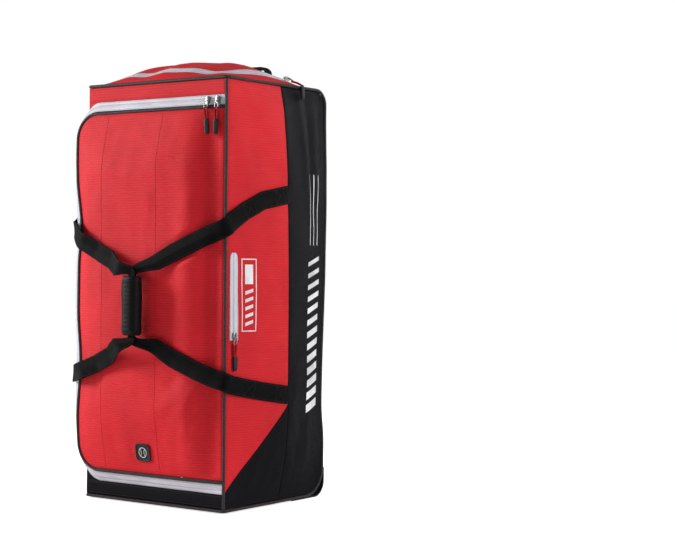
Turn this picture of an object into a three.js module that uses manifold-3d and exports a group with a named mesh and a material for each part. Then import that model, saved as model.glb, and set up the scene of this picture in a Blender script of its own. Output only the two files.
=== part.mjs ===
// A wheeled cricket kit bag, standing upright on its base with every zip closed.
// Millimetres, +Z up. The lid faces -Y, the wheels and skid rails are at +Y,
// and the side with the small pocket is at +X. The origin is the middle of the base.
import * as THREE from 'three';
import { mergeVertices } from 'three/addons/utils/BufferGeometryUtils.js';
import ManifoldModule from 'manifold-3d';

const wasm = await ManifoldModule();
wasm.setup();

// Body
const bodyWidth = 384;
const bodyDepth = 336;
const bodyHeight = 885;
const baseRise = 6;
const cloth = 2.5;
const seamGap = 0.3;
const pipingRadius = 3.2;
const topBackRadius = 32;
const bottomBackRadius = 58;
const frontCornerRadius = 9;
const sideBulge = 28;
const colourSeamFromFront = 177;
const diagonalFrontHeight = 38;
const diagonalSeamHeight = 212;
const topDome = 54;
const baseRoll = 26;
const backWaist = 8;

// Lid and its zip
const lidBottom = 68;
const lidTopMargin = 63;
const lidPuff = 26;
const lidRimStand = 9;
const lidLeftReach = 18;
const lidCornerRadius = 50;
const zipTapeThickness = 1.6;
const zipTapeWidth = 20;
const tapeBelly = 8;

// Top zip, a U that opens to the rear
const topZipInset = 27;
const topZipCornerRadius = 46;
const topZipRearMargin = 84;

// Pocket zip on the right side
const pocketZipFromFront = 21;
const pocketZipWidth = 20;
const pocketZipAboveStrap = 91.5;
const pocketZipHeight = 178;

// Webbing and handles
const webbingWidth = 38;
const webbingThickness = 1.8;
const webbingLift = 0.9;
const strapStackGap = 4;
const leftStrapSlack = 2.8;
const handleX = -8;
const strapUpperHeight = 653;
const strapLowerHeight = 233;
const wrapBottom = 358;
const wrapHeight = 122;
const wrapWidth = 42;
const wrapDepth = 34;
const wrapFlapWidth = 13;
const wrapStandOff = 9;
const wrapWall = 9;
const wrapBevel = 4;
const wrapFlapInset = 7;
const grabSpan = 142;
const grabHeight = 46;
const grabWidth = 25;
const grabFoot = 18;
const grabFromBack = 36;

// Badge
const badgeWidth = 40;
const badgeHeight = 37;
const badgeThickness = 2;
const badgeBottom = 94;

// Skid rails
const railSpacing = 282;
const railBottom = 76;
const railTopMargin = 103;
const railFaceWidth = 15;
const railFootWidth = 26;
const railDepth = 15;
const railStart = 4;
const railEndTaper = 26;
const railScrewShares = [0.357, 0.654, 0.949];

// Wheel housings and wheels
const housingWidth = 74;
const housingHeight = 130;
const housingWall = 3;
const housingGuardOut = 13;
const housingGuardHeight = 60;
const housingCornerRadius = 34;
const housingFootLength = 100;
const ventHoleRadius = 2.6;
const ventHoleInset = 10;
const housingScrewInset = 6.5;
const ventHoleHeights = [28, 43, 58, 73, 88];
const wheelRadius = 36;
const wheelWidth = 24;
const wheelFloorClearance = 2;
const wheelBehindGuard = 9;
const wheelSideClearance = 2;
const wheelRimClearance = 3;
const axleRadius = 4;
const axleFit = 0.35;
const axleEnd = 3;
const wheelSides = 18;
const wellSides = 24;
const axleSides = 10;
const screwRadius = 4.4;
const screwHeight = 2.6;

// Zip sliders and their pulls
const sliderWidth = 11;
const sliderHeight = 16;
const sliderDepth = 5;
const pullCordRadius = 1.5;
const pullCordWidth = 8;
const pullCordLength = 30;
const pullTipLength = 32;
const pullTipWidth = 10;
const pullTipDepth = 6;

// Derived sizes
const halfWidth = bodyWidth / 2;
const halfDepth = bodyDepth / 2;
const edgeInset = pipingRadius + seamGap;
const seamY = colourSeamFromFront - halfDepth;
const housingOuterX = halfWidth - edgeInset;
const housingInnerX = housingOuterX - housingWidth;
const housingMiddleX = (housingOuterX + housingInnerX) / 2;
const housingGuardY = halfDepth + housingGuardOut;
const housingPlateY = halfDepth + railStart - seamGap;
const housingFrontY = halfDepth - housingFootLength;
const lowerBandTop = housingHeight + seamGap;
const axleY = housingGuardY + wheelBehindGuard - wheelRadius;
const axleZ = wheelFloorClearance + wheelRadius;
const wheelSlot = wheelWidth + 2 * wheelSideClearance;
const topZipRearY = halfDepth - topZipRearMargin;
const lidTop = bodyHeight - lidTopMargin;
const railTop = bodyHeight - railTopMargin;

// Colours
const red = new THREE.Color(0xd3212f);
const black = new THREE.Color(0x1d1c20);
const silver = new THREE.Color(0xcfccd8);
const pipingGrey = new THREE.Color(0x5b545a);

function finish(colour, roughness, metalness = 0) {
  return new THREE.MeshStandardMaterial({ color: colour, roughness, metalness });
}
const finishes = {
  redFabric: finish(red, 0.75),
  blackFabric: finish(black, 0.8),
  zipTape: finish(silver, 0.6),
  piping: finish(pipingGrey, 0.6),
  webbing: finish(new THREE.Color(0x121214), 0.85),
  plastic: finish(new THREE.Color(0x1a1a1c), 0.45),
  rubber: finish(new THREE.Color(0x101011), 0.7),
  metal: finish(new THREE.Color(0xb9bbc0), 0.3, 0.9),
  cord: finish(new THREE.Color(0xb01522), 0.7),
};

const bag = new THREE.Group();

function addPiece(name, geometry, material) {
  geometry.computeVertexNormals();
  const mesh = new THREE.Mesh(geometry, material);
  mesh.name = name;
  bag.add(mesh);
}

// A smooth reading of one column of a table against another, with no overshoot.
function readTable(rows, fromColumn, toColumn) {
  const x = rows.map((row) => row[fromColumn]);
  const y = rows.map((row) => row[toColumn]);
  const last = x.length - 1;
  const rise = [];
  for (let i = 0; i < last; i += 1) {
    rise.push((y[i + 1] - y[i]) / (x[i + 1] - x[i]));
  }
  const slope = x.map((unused, i) => {
    if (i === 0) return rise[0];
    if (i === last) return rise[last - 1];
    if (rise[i - 1] * rise[i] <= 0) return 0;
    return (2 * rise[i - 1] * rise[i]) / (rise[i - 1] + rise[i]);
  });
  return (value) => {
    const at = THREE.MathUtils.clamp(value, x[0], x[last]);
    let i = 0;
    while (i < last - 1 && at > x[i + 1]) i += 1;
    const width = x[i + 1] - x[i];
    const t = (at - x[i]) / width;
    const t2 = t * t;
    const t3 = t2 * t;
    const start = (2 * t3 - 3 * t2 + 1) * y[i] + (t3 - 2 * t2 + t) * width * slope[i];
    return start + (3 * t2 - 2 * t3) * y[i + 1] + (t3 - t2) * width * slope[i + 1];
  };
}

// Swelling of the sides: shares of the body height and depth, and of sideBulge.
const sideSwellByHeight = readTable([
  { height: 0, swell: 0 },
  { height: 0.035, swell: 0.24 },
  { height: 0.14, swell: 0.84 },
  { height: 0.24, swell: 1 },
  { height: 0.49, swell: 0.98 },
  { height: 0.77, swell: 0.79 },
  { height: 0.93, swell: 0.42 },
  { height: 0.98, swell: 0.12 },
  { height: 1, swell: 0 },
], 'height', 'swell');
const sideSwellByDepth = readTable([
  { depth: 0, swell: 0 },
  { depth: 0.12, swell: 0.3 },
  { depth: 0.3, swell: 0.74 },
  { depth: 0.53, swell: 1 },
  { depth: 0.76, swell: 0.66 },
  { depth: 0.92, swell: 0.24 },
  { depth: 1, swell: 0.04 },
], 'depth', 'swell');

function sideSwell(y, z) {
  const byDepth = sideSwellByDepth((y + halfDepth) / bodyDepth);
  return sideBulge * byDepth * sideSwellByHeight(z / bodyHeight);
}

// The back corners of the body lean out above and draw in above the wheels.
const waistByHeight = readTable([
  { height: 0, shift: 0 },
  { height: 0.14, shift: 0 },
  { height: 0.23, shift: -1 },
  { height: 0.36, shift: -0.7 },
  { height: 0.55, shift: 0.2 },
  { height: 0.76, shift: 0.5 },
  { height: 0.94, shift: 0 },
  { height: 1, shift: 0 },
], 'height', 'shift');

function waist(x, y, z) {
  const nearSide = THREE.MathUtils.smoothstep(Math.abs(x) / halfWidth, 0.86, 1);
  const nearBack = THREE.MathUtils.clamp(y / halfDepth, 0, 1);
  return backWaist * waistByHeight(z / bodyHeight) * nearSide * nearBack;
}

// Swelling of the top: shares of the body width and depth, and of topDome.
const topSwellByWidth = readTable([
  { width: 0, swell: 1 },
  { width: 0.45, swell: 0.9 },
  { width: 0.72, swell: 0.62 },
  { width: 0.9, swell: 0.26 },
  { width: 1, swell: 0.02 },
], 'width', 'swell');
const topSwellByDepth = readTable([
  { depth: 0, swell: 0.04 },
  { depth: 0.08, swell: 0.46 },
  { depth: 0.25, swell: 0.86 },
  { depth: 0.45, swell: 1 },
  { depth: 0.7, swell: 0.72 },
  { depth: 0.86, swell: 0.24 },
  { depth: 0.96, swell: 0.03 },
  { depth: 1, swell: 0 },
], 'depth', 'swell');

function topZ(x, y) {
  const byDepth = topSwellByDepth((y + halfDepth) / bodyDepth);
  return bodyHeight + topDome * byDepth * topSwellByWidth(Math.abs(x) / halfWidth);
}

// Left edge of the lid: bulges out, and is drawn in where the straps cross it.
const lidReachByHeight = readTable([
  { height: 0, reach: 0.35 },
  { height: 0.12, reach: 0.62 },
  { height: 0.3, reach: 0.1 },
  { height: 0.45, reach: 0.55 },
  { height: 0.57, reach: 0.5 },
  { height: 0.68, reach: 0.08 },
  { height: 0.82, reach: 0.8 },
  { height: 0.94, reach: 1 },
  { height: 1, reach: 0.9 },
], 'height', 'reach');
const lidPuffAcross = readTable([
  { across: 0, puff: 0 },
  { across: 0.12, puff: 0.5 },
  { across: 0.3, puff: 0.9 },
  { across: 0.5, puff: 1 },
  { across: 0.75, puff: 0.95 },
  { across: 0.9, puff: 0.68 },
  { across: 1, puff: 0.25 },
], 'across', 'puff');
const lidPuffUp = readTable([
  { height: 0, puff: 0.12 },
  { height: 0.07, puff: 0.5 },
  { height: 0.2, puff: 0.96 },
  { height: 0.5, puff: 0.92 },
  { height: 0.82, puff: 1 },
  { height: 0.94, puff: 0.5 },
  { height: 1, puff: 0.1 },
], 'height', 'puff');
const lidRimShare = readTable([
  { across: 0, stand: 0 },
  { across: 0.16, stand: 0.75 },
  { across: 0.4, stand: 1 },
  { across: 1, stand: 1 },
], 'across', 'stand');

const lidRightX = halfWidth - edgeInset;
const lidHeight = lidTop - lidBottom;

function lidLeftX(z) {
  return -halfWidth - lidLeftReach * lidReachByHeight((z - lidBottom) / lidHeight);
}

function lidY(x, z) {
  const across = (lidRightX - x) / (lidRightX - lidLeftX(z));
  const up = (z - lidBottom) / lidHeight;
  const rim = lidRimStand * lidRimShare(across);
  return -halfDepth - rim - lidPuff * lidPuffAcross(across) * lidPuffUp(up);
}

// Turns the faces of a closed mesh outwards.
function faceOutwards(geometry) {
  const point = geometry.getAttribute('position');
  const index = geometry.getIndex().array;
  const corner = [new THREE.Vector3(), new THREE.Vector3(), new THREE.Vector3()];
  let volume = 0;
  for (let i = 0; i < index.length; i += 3) {
    corner.forEach((v, k) => v.fromBufferAttribute(point, index[i + k]));
    volume += corner[0].dot(corner[1].clone().cross(corner[2]));
  }
  if (volume < 0) {
    for (let i = 0; i < index.length; i += 3) {
      [index[i], index[i + 1]] = [index[i + 1], index[i]];
    }
  }
  return geometry;
}

function geometryOf(points, triangles) {
  const geometry = new THREE.BufferGeometry();
  geometry.setFromPoints(points);
  geometry.setIndex(triangles);
  return faceOutwards(geometry);
}

// A cloth wall: an outer surface and the same surface moved in by the wall's thickness.
function wall(surface, columns, rows, thickness = cloth) {
  const step = 1e-3;
  const outer = [];
  const inner = [];
  for (let j = 0; j <= rows; j += 1) {
    for (let i = 0; i <= columns; i += 1) {
      const u = i / columns;
      const v = j / rows;
      const uNext = surface(Math.min(u + step, 1), v);
      const uBefore = surface(Math.max(u - step, 0), v);
      const vNext = surface(u, Math.min(v + step, 1));
      const vBefore = surface(u, Math.max(v - step, 0));
      const normal = uNext.sub(uBefore).cross(vNext.sub(vBefore)).normalize();
      const point = surface(u, v);
      outer.push(point);
      inner.push(point.clone().addScaledVector(normal, -thickness));
    }
  }
  const count = outer.length;
  const at = (i, j) => j * (columns + 1) + i;
  const triangles = [];
  const quad = (a, b, c, d) => triangles.push(a, b, c, a, c, d);
  for (let j = 0; j < rows; j += 1) {
    for (let i = 0; i < columns; i += 1) {
      const [a, b, c, d] = [at(i, j), at(i + 1, j), at(i + 1, j + 1), at(i, j + 1)];
      quad(a, b, c, d);
      quad(a + count, d + count, c + count, b + count);
    }
  }
  const rim = [];
  for (let i = 0; i < columns; i += 1) rim.push(at(i, 0));
  for (let j = 0; j < rows; j += 1) rim.push(at(columns, j));
  for (let i = columns; i > 0; i -= 1) rim.push(at(i, rows));
  for (let j = rows; j > 0; j -= 1) rim.push(at(0, j));
  rim.forEach((k, i) => {
    const next = rim[(i + 1) % rim.length];
    quad(k, k + count, next + count, next);
  });
  return geometryOf([...outer, ...inner], triangles);
}

// A solid through rings of equal count, with flat ends unless it closes on itself. The two
// halves of a ring are split along opposite diagonals, so the faces of a thin twisted strip
// stay parallel.
function loft(rings, closed = false) {
  const size = rings[0].length;
  const triangles = [];
  const spans = closed ? rings.length : rings.length - 1;
  for (let j = 0; j < spans; j += 1) {
    const next = (j + 1) % rings.length;
    for (let i = 0; i < size; i += 1) {
      const k = (i + 1) % size;
      const [a, b] = [j * size + i, j * size + k];
      const [c, d] = [next * size + k, next * size + i];
      if (i < size / 2) triangles.push(a, b, c, a, c, d);
      else triangles.push(a, b, d, b, c, d);
    }
  }
  if (!closed) {
    const end = (rings.length - 1) * size;
    for (let i = 1; i < size - 1; i += 1) {
      triangles.push(0, i + 1, i);
      triangles.push(end, end + i, end + i + 1);
    }
  }
  return geometryOf(rings.flat(), triangles);
}

// A round cord along points; the plane of the path is square to the given axis.
function roundCord(points, radius, planeAxis, closed = false, sides = 6) {
  const rings = points.map((point, i) => {
    const count = points.length;
    const before = closed ? points[(i + count - 1) % count] : points[Math.max(i - 1, 0)];
    const after = closed ? points[(i + 1) % count] : points[Math.min(i + 1, count - 1)];
    const along = after.clone().sub(before).normalize();
    const out = along.clone().cross(planeAxis).normalize();
    const across = out.clone().cross(along);
    return Array.from({ length: sides }, (unused, k) => {
      const angle = (2 * Math.PI * k) / sides;
      const ringPoint = point.clone().addScaledVector(out, radius * Math.cos(angle));
      return ringPoint.addScaledVector(across, radius * Math.sin(angle));
    });
  });
  return loft(rings, closed);
}

function mirrored(geometry) {
  const copy = geometry.clone();
  copy.scale(-1, 1, 1);
  return faceOutwards(copy);
}

function toSolid(geometry) {
  const bare = geometry.clone();
  bare.deleteAttribute('normal');
  bare.deleteAttribute('uv');
  const merged = mergeVertices(bare, 1e-4);
  return new wasm.Manifold(new wasm.Mesh({
    numProp: 3,
    vertProperties: new Float32Array(merged.getAttribute('position').array),
    triVerts: new Uint32Array(merged.getIndex().array),
  }));
}

function fromSolid(solid) {
  const mesh = solid.getMesh();
  const geometry = new THREE.BufferGeometry();
  const points = new Float32Array(mesh.vertProperties);
  geometry.setAttribute('position', new THREE.BufferAttribute(points, 3));
  geometry.setIndex(Array.from(mesh.triVerts));
  return geometry;
}

// An outline in Y and Z, given depth along X.
function extrudeAlongX(shape, fromX, toX) {
  const settings = { depth: toX - fromX, bevelEnabled: false, curveSegments: 8 };
  const geometry = new THREE.ExtrudeGeometry(shape, settings);
  geometry.rotateY(Math.PI / 2);
  geometry.rotateX(Math.PI / 2);
  geometry.translate(fromX, 0, 0);
  return geometry;
}

function lerp(a, b, t) {
  return THREE.MathUtils.lerp(a, b, t);
}

// Heights of the rows of a panel whose far edge has a round corner at each end.
const cornerSteps = 4;
function cornerRows(low, high, lowRadius, highRadius, middleRows) {
  const rows = [];
  for (let i = 0; i < cornerSteps; i += 1) {
    rows.push(low + lowRadius * (1 - Math.cos((i * Math.PI) / 2 / cornerSteps)));
  }
  for (let i = 0; i <= middleRows; i += 1) {
    rows.push(lerp(low + lowRadius, high - highRadius, i / middleRows));
  }
  for (let i = cornerSteps - 1; i >= 0; i -= 1) {
    rows.push(high - highRadius * (1 - Math.cos((i * Math.PI) / 2 / cornerSteps)));
  }
  return rows;
}

function rowAt(rows, v) {
  const place = v * (rows.length - 1);
  const i = Math.min(Math.floor(place), rows.length - 2);
  return lerp(rows[i], rows[i + 1], place - i);
}

// How far a round corner takes an edge in at a height.
function cornerCut(z, low, high, lowRadius, highRadius) {
  let miss = 0;
  let radius = 0;
  if (z < low + lowRadius) {
    radius = lowRadius;
    miss = low + lowRadius - z;
  } else if (z > high - highRadius) {
    radius = highRadius;
    miss = z - high + highRadius;
  }
  return radius - Math.sqrt(Math.max(radius * radius - miss * miss, 0));
}

// Side panels
const sideLow = baseRise + edgeInset;
const sideHigh = bodyHeight - edgeInset;
const sideFrontY = -halfDepth + edgeInset;
const sideBackY = halfDepth - edgeInset;
const sideLowRadius = bottomBackRadius - edgeInset;
const sideHighRadius = topBackRadius - edgeInset;
const diagonalGap = seamGap * 2;

function sidePoint(y, z) {
  return new THREE.Vector3(halfWidth + sideSwell(y, z), y + waist(halfWidth, y, z), z);
}

function diagonalHeight(y) {
  const share = (y + halfDepth) / colourSeamFromFront;
  return lerp(diagonalFrontHeight, diagonalSeamHeight, share);
}

const sideFront = wall((u, v) => {
  const y = lerp(sideFrontY, seamY - seamGap, u);
  return sidePoint(y, lerp(diagonalHeight(y) + diagonalGap, sideHigh, v));
}, 7, 9);
const sideCorner = wall((u, v) => {
  const y = lerp(sideFrontY, seamY - seamGap, u);
  return sidePoint(y, lerp(sideLow, diagonalHeight(y) - diagonalGap, v));
}, 6, 3);
const sideMiddleRows = 8;
const sideRows = cornerRows(sideLow, sideHigh, sideLowRadius, sideHighRadius, sideMiddleRows);
const sideRear = wall((u, v) => {
  const z = rowAt(sideRows, v);
  const cut = cornerCut(z, sideLow, sideHigh, sideLowRadius, sideHighRadius);
  return sidePoint(lerp(seamY + seamGap, sideBackY - cut, u), z);
}, 5, sideRows.length - 1);

const sidePanels = { front: sideFront, rear: sideRear, corner: sideCorner };
Object.entries(sidePanels).forEach(([place, geometry]) => {
  const material = place === 'front' ? finishes.redFabric : finishes.blackFabric;
  addPiece(`side_right_${place}`, geometry, material);
  addPiece(`side_left_${place}`, mirrored(geometry), material);
});

// Piping round each side panel, from the front top corner over the back to the front base
function arcPoints(centreY, centreZ, radius, fromAngle, toAngle, steps) {
  return Array.from({ length: steps + 1 }, (unused, i) => {
    const angle = lerp(fromAngle, toAngle, i / steps);
    const y = centreY + radius * Math.cos(angle);
    return new THREE.Vector3(halfWidth, y, centreZ + radius * Math.sin(angle));
  });
}

function sidePipingPath() {
  const back = halfDepth;
  const topArc = [back - topBackRadius, bodyHeight - topBackRadius, topBackRadius];
  const lowArc = [back - bottomBackRadius, baseRise + bottomBackRadius, bottomBackRadius];
  const start = new THREE.Vector3(halfWidth, -halfDepth + edgeInset + pipingRadius, bodyHeight);
  const end = start.clone().setZ(baseRise);
  const backRun = Array.from({ length: sideMiddleRows - 1 }, (unused, i) => {
    const low = baseRise + bottomBackRadius;
    const z = lerp(bodyHeight - topBackRadius, low, (i + 1) / sideMiddleRows);
    return new THREE.Vector3(halfWidth, back, z);
  });
  const path = [
    start,
    ...arcPoints(...topArc, Math.PI / 2, 0, cornerSteps),
    ...backRun,
    ...arcPoints(...lowArc, 0, -Math.PI / 2, cornerSteps),
    end,
  ];
  path.forEach((point) => {
    point.y += waist(point.x, point.y, point.z);
  });
  return path;
}

const xAxis = new THREE.Vector3(1, 0, 0);
const yAxis = new THREE.Vector3(0, 1, 0);
const zAxis = new THREE.Vector3(0, 0, 1);
const frontFacing = new THREE.Vector3(0, -1, 0);
const sidePiping = roundCord(sidePipingPath(), pipingRadius, xAxis);
addPiece('side_right_piping', sidePiping, finishes.piping);
addPiece('side_left_piping', mirrored(sidePiping), finishes.piping);

// Piping down the front right edge, which joins the lid's hinge side to the pocket side
const frontEdgePiping = roundCord([
  new THREE.Vector3(halfWidth, -halfDepth, baseRise + edgeInset),
  new THREE.Vector3(halfWidth, -halfDepth, bodyHeight - edgeInset),
], pipingRadius, yAxis);
addPiece('front_edge_piping', frontEdgePiping, finishes.piping);

// Piping across the front of the top and of the base
function crossPiping(z) {
  const reach = halfWidth + pipingRadius;
  return roundCord([
    new THREE.Vector3(-reach, -halfDepth, z),
    new THREE.Vector3(reach, -halfDepth, z),
  ], pipingRadius, yAxis);
}
addPiece('top_front_piping', crossPiping(bodyHeight), finishes.piping);
addPiece('base_front_piping', crossPiping(baseRise), finishes.piping);

// Front bands above and below the lid's zip
const tapeStart = 2 * edgeInset + 2 * seamGap;
const bandGapTop = lidTop + tapeStart + zipTapeWidth;
const bandGapBottom = lidBottom - tapeStart - zipTapeWidth;

function frontBand(low, high) {
  const left = -halfWidth;
  return wall((u, v) => {
    const x = lerp(left, halfWidth - edgeInset, u);
    return new THREE.Vector3(x, -halfDepth, lerp(low, high, v));
  }, 6, 1);
}
const topBand = frontBand(bandGapTop + seamGap, bodyHeight - edgeInset);
const bottomBand = frontBand(baseRise + edgeInset, bandGapBottom - seamGap);
addPiece('front_top_band', topBand, finishes.redFabric);
addPiece('front_bottom_band', bottomBand, finishes.blackFabric);

// Lid
const lidRows = cornerRows(lidBottom, lidTop, lidCornerRadius, lidCornerRadius, 11);
const lid = wall((u, v) => {
  const z = rowAt(lidRows, v);
  const cut = cornerCut(z, lidBottom, lidTop, lidCornerRadius, lidCornerRadius);
  const x = lerp(lidLeftX(z) + cut, lidRightX, u);
  return new THREE.Vector3(x, lidY(x, z), z);
}, 11, lidRows.length - 1);
addPiece('lid_panel', lid, finishes.redFabric);

// The free edge of the lid, from its top right end round the left to its bottom right end,
// as places with the direction that points away from the lid.
function lidEdgePlaces() {
  const places = [];
  const r = lidCornerRadius;
  const topSpan = 6;
  const cornerSpan = 5;
  const leftSpan = 11;
  const leftAtTop = lidLeftX(lidTop - r) + r;
  const leftAtBottom = lidLeftX(lidBottom + r) + r;
  for (let i = 0; i <= topSpan; i += 1) {
    const x = lerp(lidRightX, leftAtTop, i / topSpan);
    places.push({ x, z: lidTop, outX: 0, outZ: 1 });
  }
  for (let i = 1; i <= cornerSpan; i += 1) {
    const angle = (i / cornerSpan) * (Math.PI / 2);
    const z = lidTop - r + r * Math.cos(angle);
    const x = lidLeftX(z) + r * (1 - Math.sin(angle));
    places.push({ x, z, outX: -Math.sin(angle), outZ: Math.cos(angle) });
  }
  for (let i = 1; i <= leftSpan; i += 1) {
    const z = lerp(lidTop - r, lidBottom + r, i / leftSpan);
    places.push({ x: lidLeftX(z), z, outX: -1, outZ: 0 });
  }
  for (let i = 1; i <= cornerSpan; i += 1) {
    const angle = (i / cornerSpan) * (Math.PI / 2);
    const z = lidBottom + r - r * Math.sin(angle);
    const x = lidLeftX(z) + r * (1 - Math.cos(angle));
    places.push({ x, z, outX: -Math.cos(angle), outZ: -Math.sin(angle) });
  }
  for (let i = 1; i <= topSpan; i += 1) {
    const x = lerp(leftAtBottom, lidRightX, i / topSpan);
    places.push({ x, z: lidBottom, outX: 0, outZ: -1 });
  }
  return places;
}
const lidEdge = lidEdgePlaces();

const lidPiping = roundCord(lidEdge.map((place) => {
  const away = edgeInset + seamGap;
  const x = place.x + place.outX * away;
  const z = place.z + place.outZ * away;
  return new THREE.Vector3(x, lidY(place.x, place.z) + cloth / 2, z);
}), pipingRadius, yAxis);
addPiece('lid_piping', lidPiping, finishes.piping);

// The zip tape round the lid: from the lid's piping back to the body, with a round belly
const lidTape = loft(lidEdge.map((place) => {
  const onSide = place.outX * place.outX;
  const lidSide = new THREE.Vector3(
    place.x + place.outX * (tapeStart + onSide * zipTapeThickness),
    lidY(place.x, place.z) + cloth,
    place.z + place.outZ * tapeStart,
  );
  const bodySide = new THREE.Vector3(
    lerp(place.x, -halfWidth - 3 * seamGap - zipTapeThickness, onSide),
    -halfDepth + onSide * (edgeInset - 2 * seamGap),
    place.z + place.outZ * (tapeStart + zipTapeWidth),
  );
  const middle = lidSide.clone().lerp(bodySide, 0.5);
  middle.x += place.outX * tapeBelly * onSide;
  const line = [lidSide, middle, bodySide];
  const across = bodySide.clone().sub(lidSide).normalize();
  const along = new THREE.Vector3(place.outZ, 0, -place.outX);
  const inwards = across.cross(along).normalize().multiplyScalar(zipTapeThickness);
  const outwards = inwards.x * place.outX + inwards.z * place.outZ;
  if (outwards > (1 - onSide) * inwards.y) inwards.negate();
  return [...line, ...line.map((point) => point.clone().add(inwards)).reverse()];
}));
addPiece('lid_zip_tape', lidTape, finishes.zipTape);

// The top: a rim band, a U of zip tape, the flap inside the U and a panel behind it
const rimCornerRadius = frontCornerRadius;

// A place on a U that runs forward on the right, across the front and back on the left.
function topPlace(inset, radius, share) {
  const sideX = halfWidth - inset;
  const frontY = -halfDepth + inset;
  const ends = [0, 0.28, 0.4, 0.6, 0.72, 1];
  const part = ends.findIndex((end, i) => i < 5 && share <= ends[i + 1]);
  const t = (share - ends[part]) / (ends[part + 1] - ends[part]);
  const turn = (t * Math.PI) / 2;
  if (part === 0) return { x: sideX, y: lerp(topZipRearY, frontY + radius, t) };
  if (part === 1) {
    const x = sideX - radius * (1 - Math.cos(turn));
    return { x, y: frontY + radius * (1 - Math.sin(turn)) };
  }
  if (part === 2) return { x: lerp(sideX - radius, radius - sideX, t), y: frontY };
  if (part === 3) {
    const x = radius - sideX - radius * Math.sin(turn);
    return { x, y: frontY + radius * (1 - Math.cos(turn)) };
  }
  return { x: -sideX, y: lerp(frontY + radius, topZipRearY, t) };
}

function topPoint(x, y) {
  return new THREE.Vector3(x, y, topZ(x, y));
}

function topRing(outer, inner, columns, thickness) {
  return wall((u, v) => {
    const from = topPlace(outer.inset, outer.radius, 1 - u);
    const to = topPlace(inner.inset, inner.radius, 1 - u);
    return topPoint(lerp(from.x, to.x, v), lerp(from.y, to.y, v));
  }, 25, columns, thickness);
}

const rimOuter = { inset: edgeInset, radius: rimCornerRadius };
const rimInner = { inset: topZipInset - seamGap, radius: topZipCornerRadius };
const tapeOuter = { inset: topZipInset, radius: topZipCornerRadius };
const flapRadius = topZipCornerRadius - zipTapeWidth;
const tapeInner = { inset: topZipInset + zipTapeWidth, radius: flapRadius };
addPiece('top_rim_band', topRing(rimOuter, rimInner, 2, cloth), finishes.redFabric);
addPiece('top_zip_tape', topRing(tapeOuter, tapeInner, 1, zipTapeThickness), finishes.zipTape);

const flapInset = topZipInset + zipTapeWidth + 3 * seamGap;
const flapRows = cornerRows(-halfDepth + flapInset, topZipRearY, flapRadius, 0, 5);
const topFlap = wall((u, v) => {
  const y = rowAt(flapRows, v);
  const cut = cornerCut(y, -halfDepth + flapInset, topZipRearY, flapRadius, 0);
  const reach = halfWidth - flapInset - cut;
  return topPoint(lerp(-reach, reach, u), y);
}, 8, flapRows.length - 1);
addPiece('top_flap', topFlap, finishes.redFabric);

const topRearEndY = halfDepth - topBackRadius;
const topRear = wall((u, v) => {
  const reach = halfWidth - edgeInset;
  const y = lerp(topZipRearY + seamGap, topRearEndY - 2 * seamGap, v);
  return topPoint(lerp(-reach, reach, u), y);
}, 8, 2);
addPiece('top_rear_panel', topRear, finishes.blackFabric);

// The back: over the top corner and down to the lower band
const backRows = [
  ...Array.from({ length: 4 }, (unused, i) => ({ turn: (i / 4) * (Math.PI / 2) })),
  ...Array.from({ length: 8 }, (unused, i) => ({ fall: i / 7 })),
];

function backPlace(v) {
  const place = v * (backRows.length - 1);
  const low = Math.min(Math.floor(place), backRows.length - 2);
  const at = (row) => {
    if (row.turn !== undefined) {
      const y = topRearEndY + topBackRadius * Math.sin(row.turn);
      return { y, z: bodyHeight - topBackRadius * (1 - Math.cos(row.turn)) };
    }
    return { y: halfDepth, z: lerp(bodyHeight - topBackRadius, lowerBandTop + seamGap, row.fall) };
  };
  const [a, b] = [at(backRows[low]), at(backRows[low + 1])];
  return { y: lerp(a.y, b.y, place - low), z: lerp(a.z, b.z, place - low) };
}

const backPanel = wall((u, v) => {
  const { y, z } = backPlace(v);
  const reach = halfWidth - edgeInset;
  const x = lerp(-reach, reach, u);
  return new THREE.Vector3(x, y + waist(x, y, z), z);
}, 10, backRows.length - 1);
addPiece('back_panel', backPanel, finishes.blackFabric);

// The lower band between the wheel housings, round the bottom corner to the base
const lowerReach = housingInnerX - seamGap;
const lowerRadius = bottomBackRadius;

function lowerPlace(v) {
  const downShare = 0.3;
  const turnShare = 0.8;
  if (v <= downShare) {
    return { y: halfDepth, z: lerp(lowerBandTop, lowerRadius, v / downShare) };
  }
  if (v <= turnShare) {
    const angle = ((v - downShare) / (turnShare - downShare)) * (Math.PI / 2);
    const y = halfDepth - lowerRadius * (1 - Math.cos(angle));
    return { y, z: lowerRadius * (1 - Math.sin(angle)) };
  }
  const share = (v - turnShare) / (1 - turnShare);
  return { y: lerp(halfDepth - lowerRadius, housingFrontY, share), z: 0 };
}

const lowerBand = wall((u, v) => {
  const { y, z } = lowerPlace(v);
  return new THREE.Vector3(lerp(-lowerReach, lowerReach, u), y, z);
}, 4, 10);
addPiece('back_lower_band', lowerBand, finishes.blackFabric);

// The base: flat where it rests, rolled up to the piping at its rim
function baseLift(x, y) {
  const toSide = halfWidth - Math.abs(x);
  const toFront = y + halfDepth;
  const near = Math.min(toSide, toFront);
  return baseRise * (1 - THREE.MathUtils.smoothstep(near, edgeInset, baseRoll));
}

const baseReach = halfWidth - edgeInset;
const baseFlatShare = (baseReach - baseRoll) / baseReach;
const baseColumns = [-1, -(1 + baseFlatShare) / 2, -baseFlatShare, baseFlatShare,
  (1 + baseFlatShare) / 2, 1];

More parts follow.
